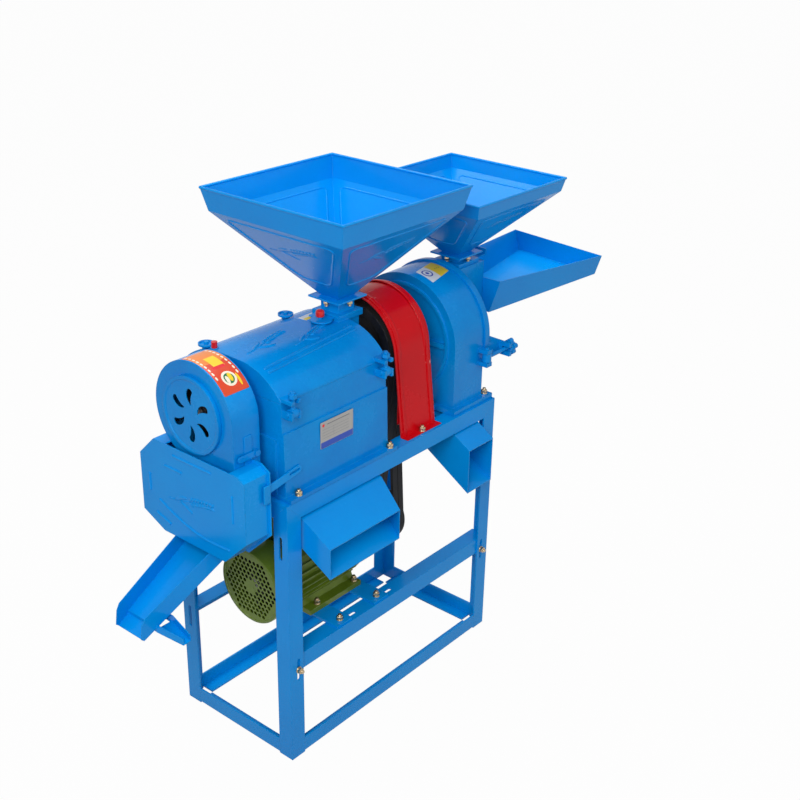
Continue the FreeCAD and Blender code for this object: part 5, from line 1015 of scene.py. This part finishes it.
@dataclass
class FanGrille:
    """Pressed fan cover with rows of round holes and a rolled rim."""

    pitch: float = 0.0125
    hole: float = 0.0048
    front: float = 0.0016
    wall: float = 0.0016
    boss: float = 0.019
    rim: float = 0.007
    margin: float = 0.62
    sides: int = 12

    def build(self) -> None:
        """Replace the plain cover by a perforated plate with a skirt."""
        low, high = box_of("motor_fan_cover")
        centre = np.array([low[0], (low[1] + high[1]) / 2, (low[2] + high[2]) / 2])
        radius, deep = (high[2] - low[2]) / 2, high[0] - low[0]
        plate = radius - self.rim
        points, faces = self.cells(self.spots(plate), plate)
        skirt, quads = turned("x", [
            (self.front, plate - 0.001), (0.0, plate), (0.0, radius - 0.004), (0.0012, radius - 0.0012),
            (0.004, radius), (deep, radius), (deep, radius - self.wall), (0.005, radius - self.wall),
            (0.0022, radius - 0.0045), (self.front + self.wall, plate - 0.001)], 72)
        piece = mesh_piece("fan_grille", np.concatenate([points, skirt]) + centre,
                           faces + (quads + len(points)).tolist(), Paint.MOTOR)
        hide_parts("motor_fan_cover")

    def spots(self, plate: float) -> np.ndarray:
        """Return the middles of a honeycomb of cells that reaches past the plate's edge."""
        count = int(plate / self.pitch) + 3
        row, column = np.meshgrid(np.arange(-count, count + 1), np.arange(-count, count + 1), indexing="ij")
        y = (column + 0.5 * (row % 2)) * self.pitch
        z = row * self.pitch * math.sqrt(3) / 2
        spots = np.stack([y.ravel(), z.ravel()], axis=1)
        return spots[np.hypot(*spots.T) < plate + self.pitch]

    def cells(self, spots: np.ndarray, plate: float) -> tuple[np.ndarray, list]:
        """Work out the plate: each cell is a hexagon round a hole, or a closed hexagon near rim and boss.

        The outer points that pass the plate's radius are drawn back onto it along their own direction. An
        open cell has three rings of points: its outline, the hole's edge and the hole's far edge.

        Args:
            spots: the cells' middles.
            plate: the plate's radius.

        Returns:
            The points and the faces.
        """
        far = np.hypot(*spots.T)
        is_open = (far < plate - self.pitch * self.margin) & (far > self.boss)
        index = np.arange(self.sides)
        angle = (index + 1) / self.sides * math.tau
        corner = self.pitch / math.sqrt(3)
        reach = np.where(index % 2 == 0, corner, corner * math.cos(math.tau / self.sides))[:, None]
        round_trip = np.stack([np.cos(angle), np.sin(angle)], axis=1)
        outline = spots[:, None] + round_trip * reach
        outline *= np.minimum(1, plate / np.linalg.norm(outline, axis=2, keepdims=True))
        hole = spots[is_open][:, None] + round_trip * self.hole
        rings = np.stack([outline[is_open], hole, hole], axis=1)
        depth = np.broadcast_to([[[self.front]], [[self.front]], [[self.front + self.wall]]],
                                (*rings.shape[:-1], 1))
        closed = outline[~is_open]
        flat = np.concatenate([np.full((*closed.shape[:-1], 1), self.front), closed], axis=-1)
        opened = np.concatenate([depth, rings], axis=-1)
        starts = np.arange(len(opened))[:, None, None] * 3 * self.sides
        quads = grid_faces(3, self.sides, wrap_columns=True) + starts
        hexagons = index[::-1] + np.arange(len(flat))[:, None] * self.sides + opened.size // 3
        return (np.concatenate([opened.reshape(-1, 3), flat.reshape(-1, 3)]),
                quads.reshape(-1, 4).tolist() + hexagons.tolist())


@dataclass
class BoltSet:
    """Full studs in the place of the stand's plain bolts."""

    reach: float = 0.024
    flattest: float = 0.012

    def spots(self) -> list[tuple[np.ndarray, str, float]]:
        """Find the seat of each plain bolt: its points' middle and the face they stand on.

        The points within reach of the first one left are one bolt. A flat bolt stands on a rail's top, any
        other one on an upright face.

        Returns:
            For each bolt its seat, its axis and the way it points.
        """
        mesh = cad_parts["zinc_bolts"].data
        left = np.zeros(len(mesh.vertices) * 3)
        mesh.vertices.foreach_get("co", left)
        left = left.reshape(-1, 3)
        found = []
        while len(left):
            near = np.linalg.norm(left - left[0], axis=1) < self.reach
            low, high = left[near].min(0), left[near].max(0)
            left = left[~near]
            middle = (low + high) / 2
            if high[2] - low[2] < self.flattest:
                found.append((np.array([middle[0], middle[1], low[2]]), "z", 1.0))
            else:
                found.append((np.array([middle[0], high[1], middle[2]]), "y", -1.0))
        return found

    def build(self) -> None:
        """Replace the plain bolts."""
        piece = fasteners("stud_bolts", self.spots())
        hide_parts("zinc_bolts")


# Room, lamps and camera

@dataclass
class Studio:
    """Pale floor, soft lamps and the camera at the photograph's place.

    Each lamp has a name, a place, the point it faces, the length of its sides and its power in watts.
    """

    place: tuple[float, float, float] = (-1.8641, -1.7075, 1.8883)
    azimuth: float = -50.4586
    elevation: float = 24.962
    roll: float = 1.1668
    lens: float = 55.2974
    sensor: float = 36.0
    floor_reach: float = 30.0
    floor_grey: float = 0.42
    floor_white: float = 0.975
    mirror_light: float = 0.8
    fill_light: float = 0.29
    lamps: tuple = (("key", (-2.7, -1.8, 2.8), (0.0, 0.0, 0.7), 2.2, 100.0),
                    ("front", (0.8, -3.4, 1.8), (0.0, 0.0, 0.6), 2.6, 20.0),
                    ("top", (0.6, 0.8, 3.4), (0.0, 0.0, 0.8), 2.2, 62.0))

    def floor(self) -> None:
        """Lay a wide pale floor that shows nearly white and keeps a soft shadow."""
        corners = oblong(-self.floor_reach, self.floor_reach, -self.floor_reach, self.floor_reach)
        mesh = bpy.data.meshes.new("floor")
        mesh.from_pydata([(*corner, 0) for corner in corners], [], [(0, 1, 2, 3)])
        piece = bpy.data.objects.new("floor", mesh)
        bpy.context.scene.collection.objects.link(piece)
        made = bpy.data.materials.new("pale_floor")
        made.use_nodes = True
        graph = Graph(made.node_tree)
        made.node_tree.nodes.clear()
        out = graph.add("OutputMaterial")
        matt = graph.add("BsdfDiffuse", in_Color=(self.floor_grey, self.floor_grey, self.floor_grey, 1))
        white = graph.add("Emission", in_Color=(1, 1, 1, 1), in_Strength=1.0)
        path = graph.add("LightPath")
        seen = graph.math("MAXIMUM", path.outputs["Is Camera Ray"], path.outputs["Is Glossy Ray"])
        mix = graph.add("MixShader")
        graph.join(graph.math("MULTIPLY", seen, self.floor_white), mix.inputs[0])
        graph.join(matt.outputs[0], mix.inputs[1])
        graph.join(white.outputs[0], mix.inputs[2])
        graph.join(mix.outputs[0], out.inputs["Surface"])
        mesh.materials.append(made)

    def world(self) -> None:
        """Fill the room with even light; camera and mirror rays see it white."""
        world = bpy.data.worlds.new("studio")
        bpy.context.scene.world = world
        world.use_nodes = True
        world.node_tree.nodes.clear()
        graph = Graph(world.node_tree)
        out = graph.add("OutputWorld")
        back = graph.add("Background", in_Color=(1, 1, 1, 1))
        path = graph.add("LightPath")
        seen = graph.math("MAXIMUM", path.outputs["Is Camera Ray"], path.outputs["Is Transmission Ray"])
        mirrored = graph.math("MULTIPLY", path.outputs["Is Glossy Ray"], self.mirror_light)
        seen = graph.math("MAXIMUM", seen, mirrored)
        graph.join(graph.math("MAXIMUM", seen, self.fill_light), back.inputs["Strength"])
        graph.join(back.outputs[0], out.inputs["Surface"])

    def light(self) -> None:
        """Hang the square soft lamps."""
        for name, place, aim, size, power in self.lamps:
            lamp = bpy.data.lights.new(name, "AREA")
            lamp.shape, lamp.size, lamp.energy = "SQUARE", size, power
            piece = bpy.data.objects.new(name, lamp)
            piece.location = place
            piece.rotation_euler = (Vector(aim) - Vector(place)).to_track_quat("-Z", "Y").to_euler()
            bpy.context.scene.collection.objects.link(piece)

    def camera(self) -> None:
        """Set the camera from its azimuth, elevation and roll: its back vector follows from the first two."""
        a, e, r = (math.radians(angle) for angle in (self.azimuth, self.elevation, self.roll))
        back = Vector((math.sin(a) * math.cos(e), -math.cos(a) * math.cos(e), math.sin(e)))
        level = Vector((math.cos(a), math.sin(a), 0))
        upright = back.cross(level)
        right = level * math.cos(r) + upright * math.sin(r)
        up = upright * math.cos(r) - level * math.sin(r)
        lens = bpy.data.cameras.new("camera")
        lens.lens, lens.sensor_width = self.lens, self.sensor
        piece = bpy.data.objects.new("camera", lens)
        piece.matrix_world = Matrix((right, up, back)).transposed().to_4x4()
        piece.location = self.place
        bpy.context.scene.collection.objects.link(piece)
        bpy.context.scene.camera = piece

    def build(self) -> None:
        """Set up the whole room."""
        self.floor()
        self.world()
        self.light()
        self.camera()
        bpy.context.scene.view_settings.view_transform = "Standard"


def main() -> None:
    """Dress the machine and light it."""
    logging.basicConfig(level=logging.INFO, format="%(name)s: %(message)s")
    paint_nodes()
    for part in (FanGrille(), BoltSet(), BlowerDress(), BoxCoverDress(), MillDress(), CrusherDress(), GuardDress(),
                 HopperTrim("mill_hopper", collar=0.053, step=0.012, seat=0.036),
                 HopperTrim("crusher_hopper", collar=0.034, step=0.008, seat=0.022, shift=0.019), Studio()):
        part.build()


if __name__ == "__main__":
    main()
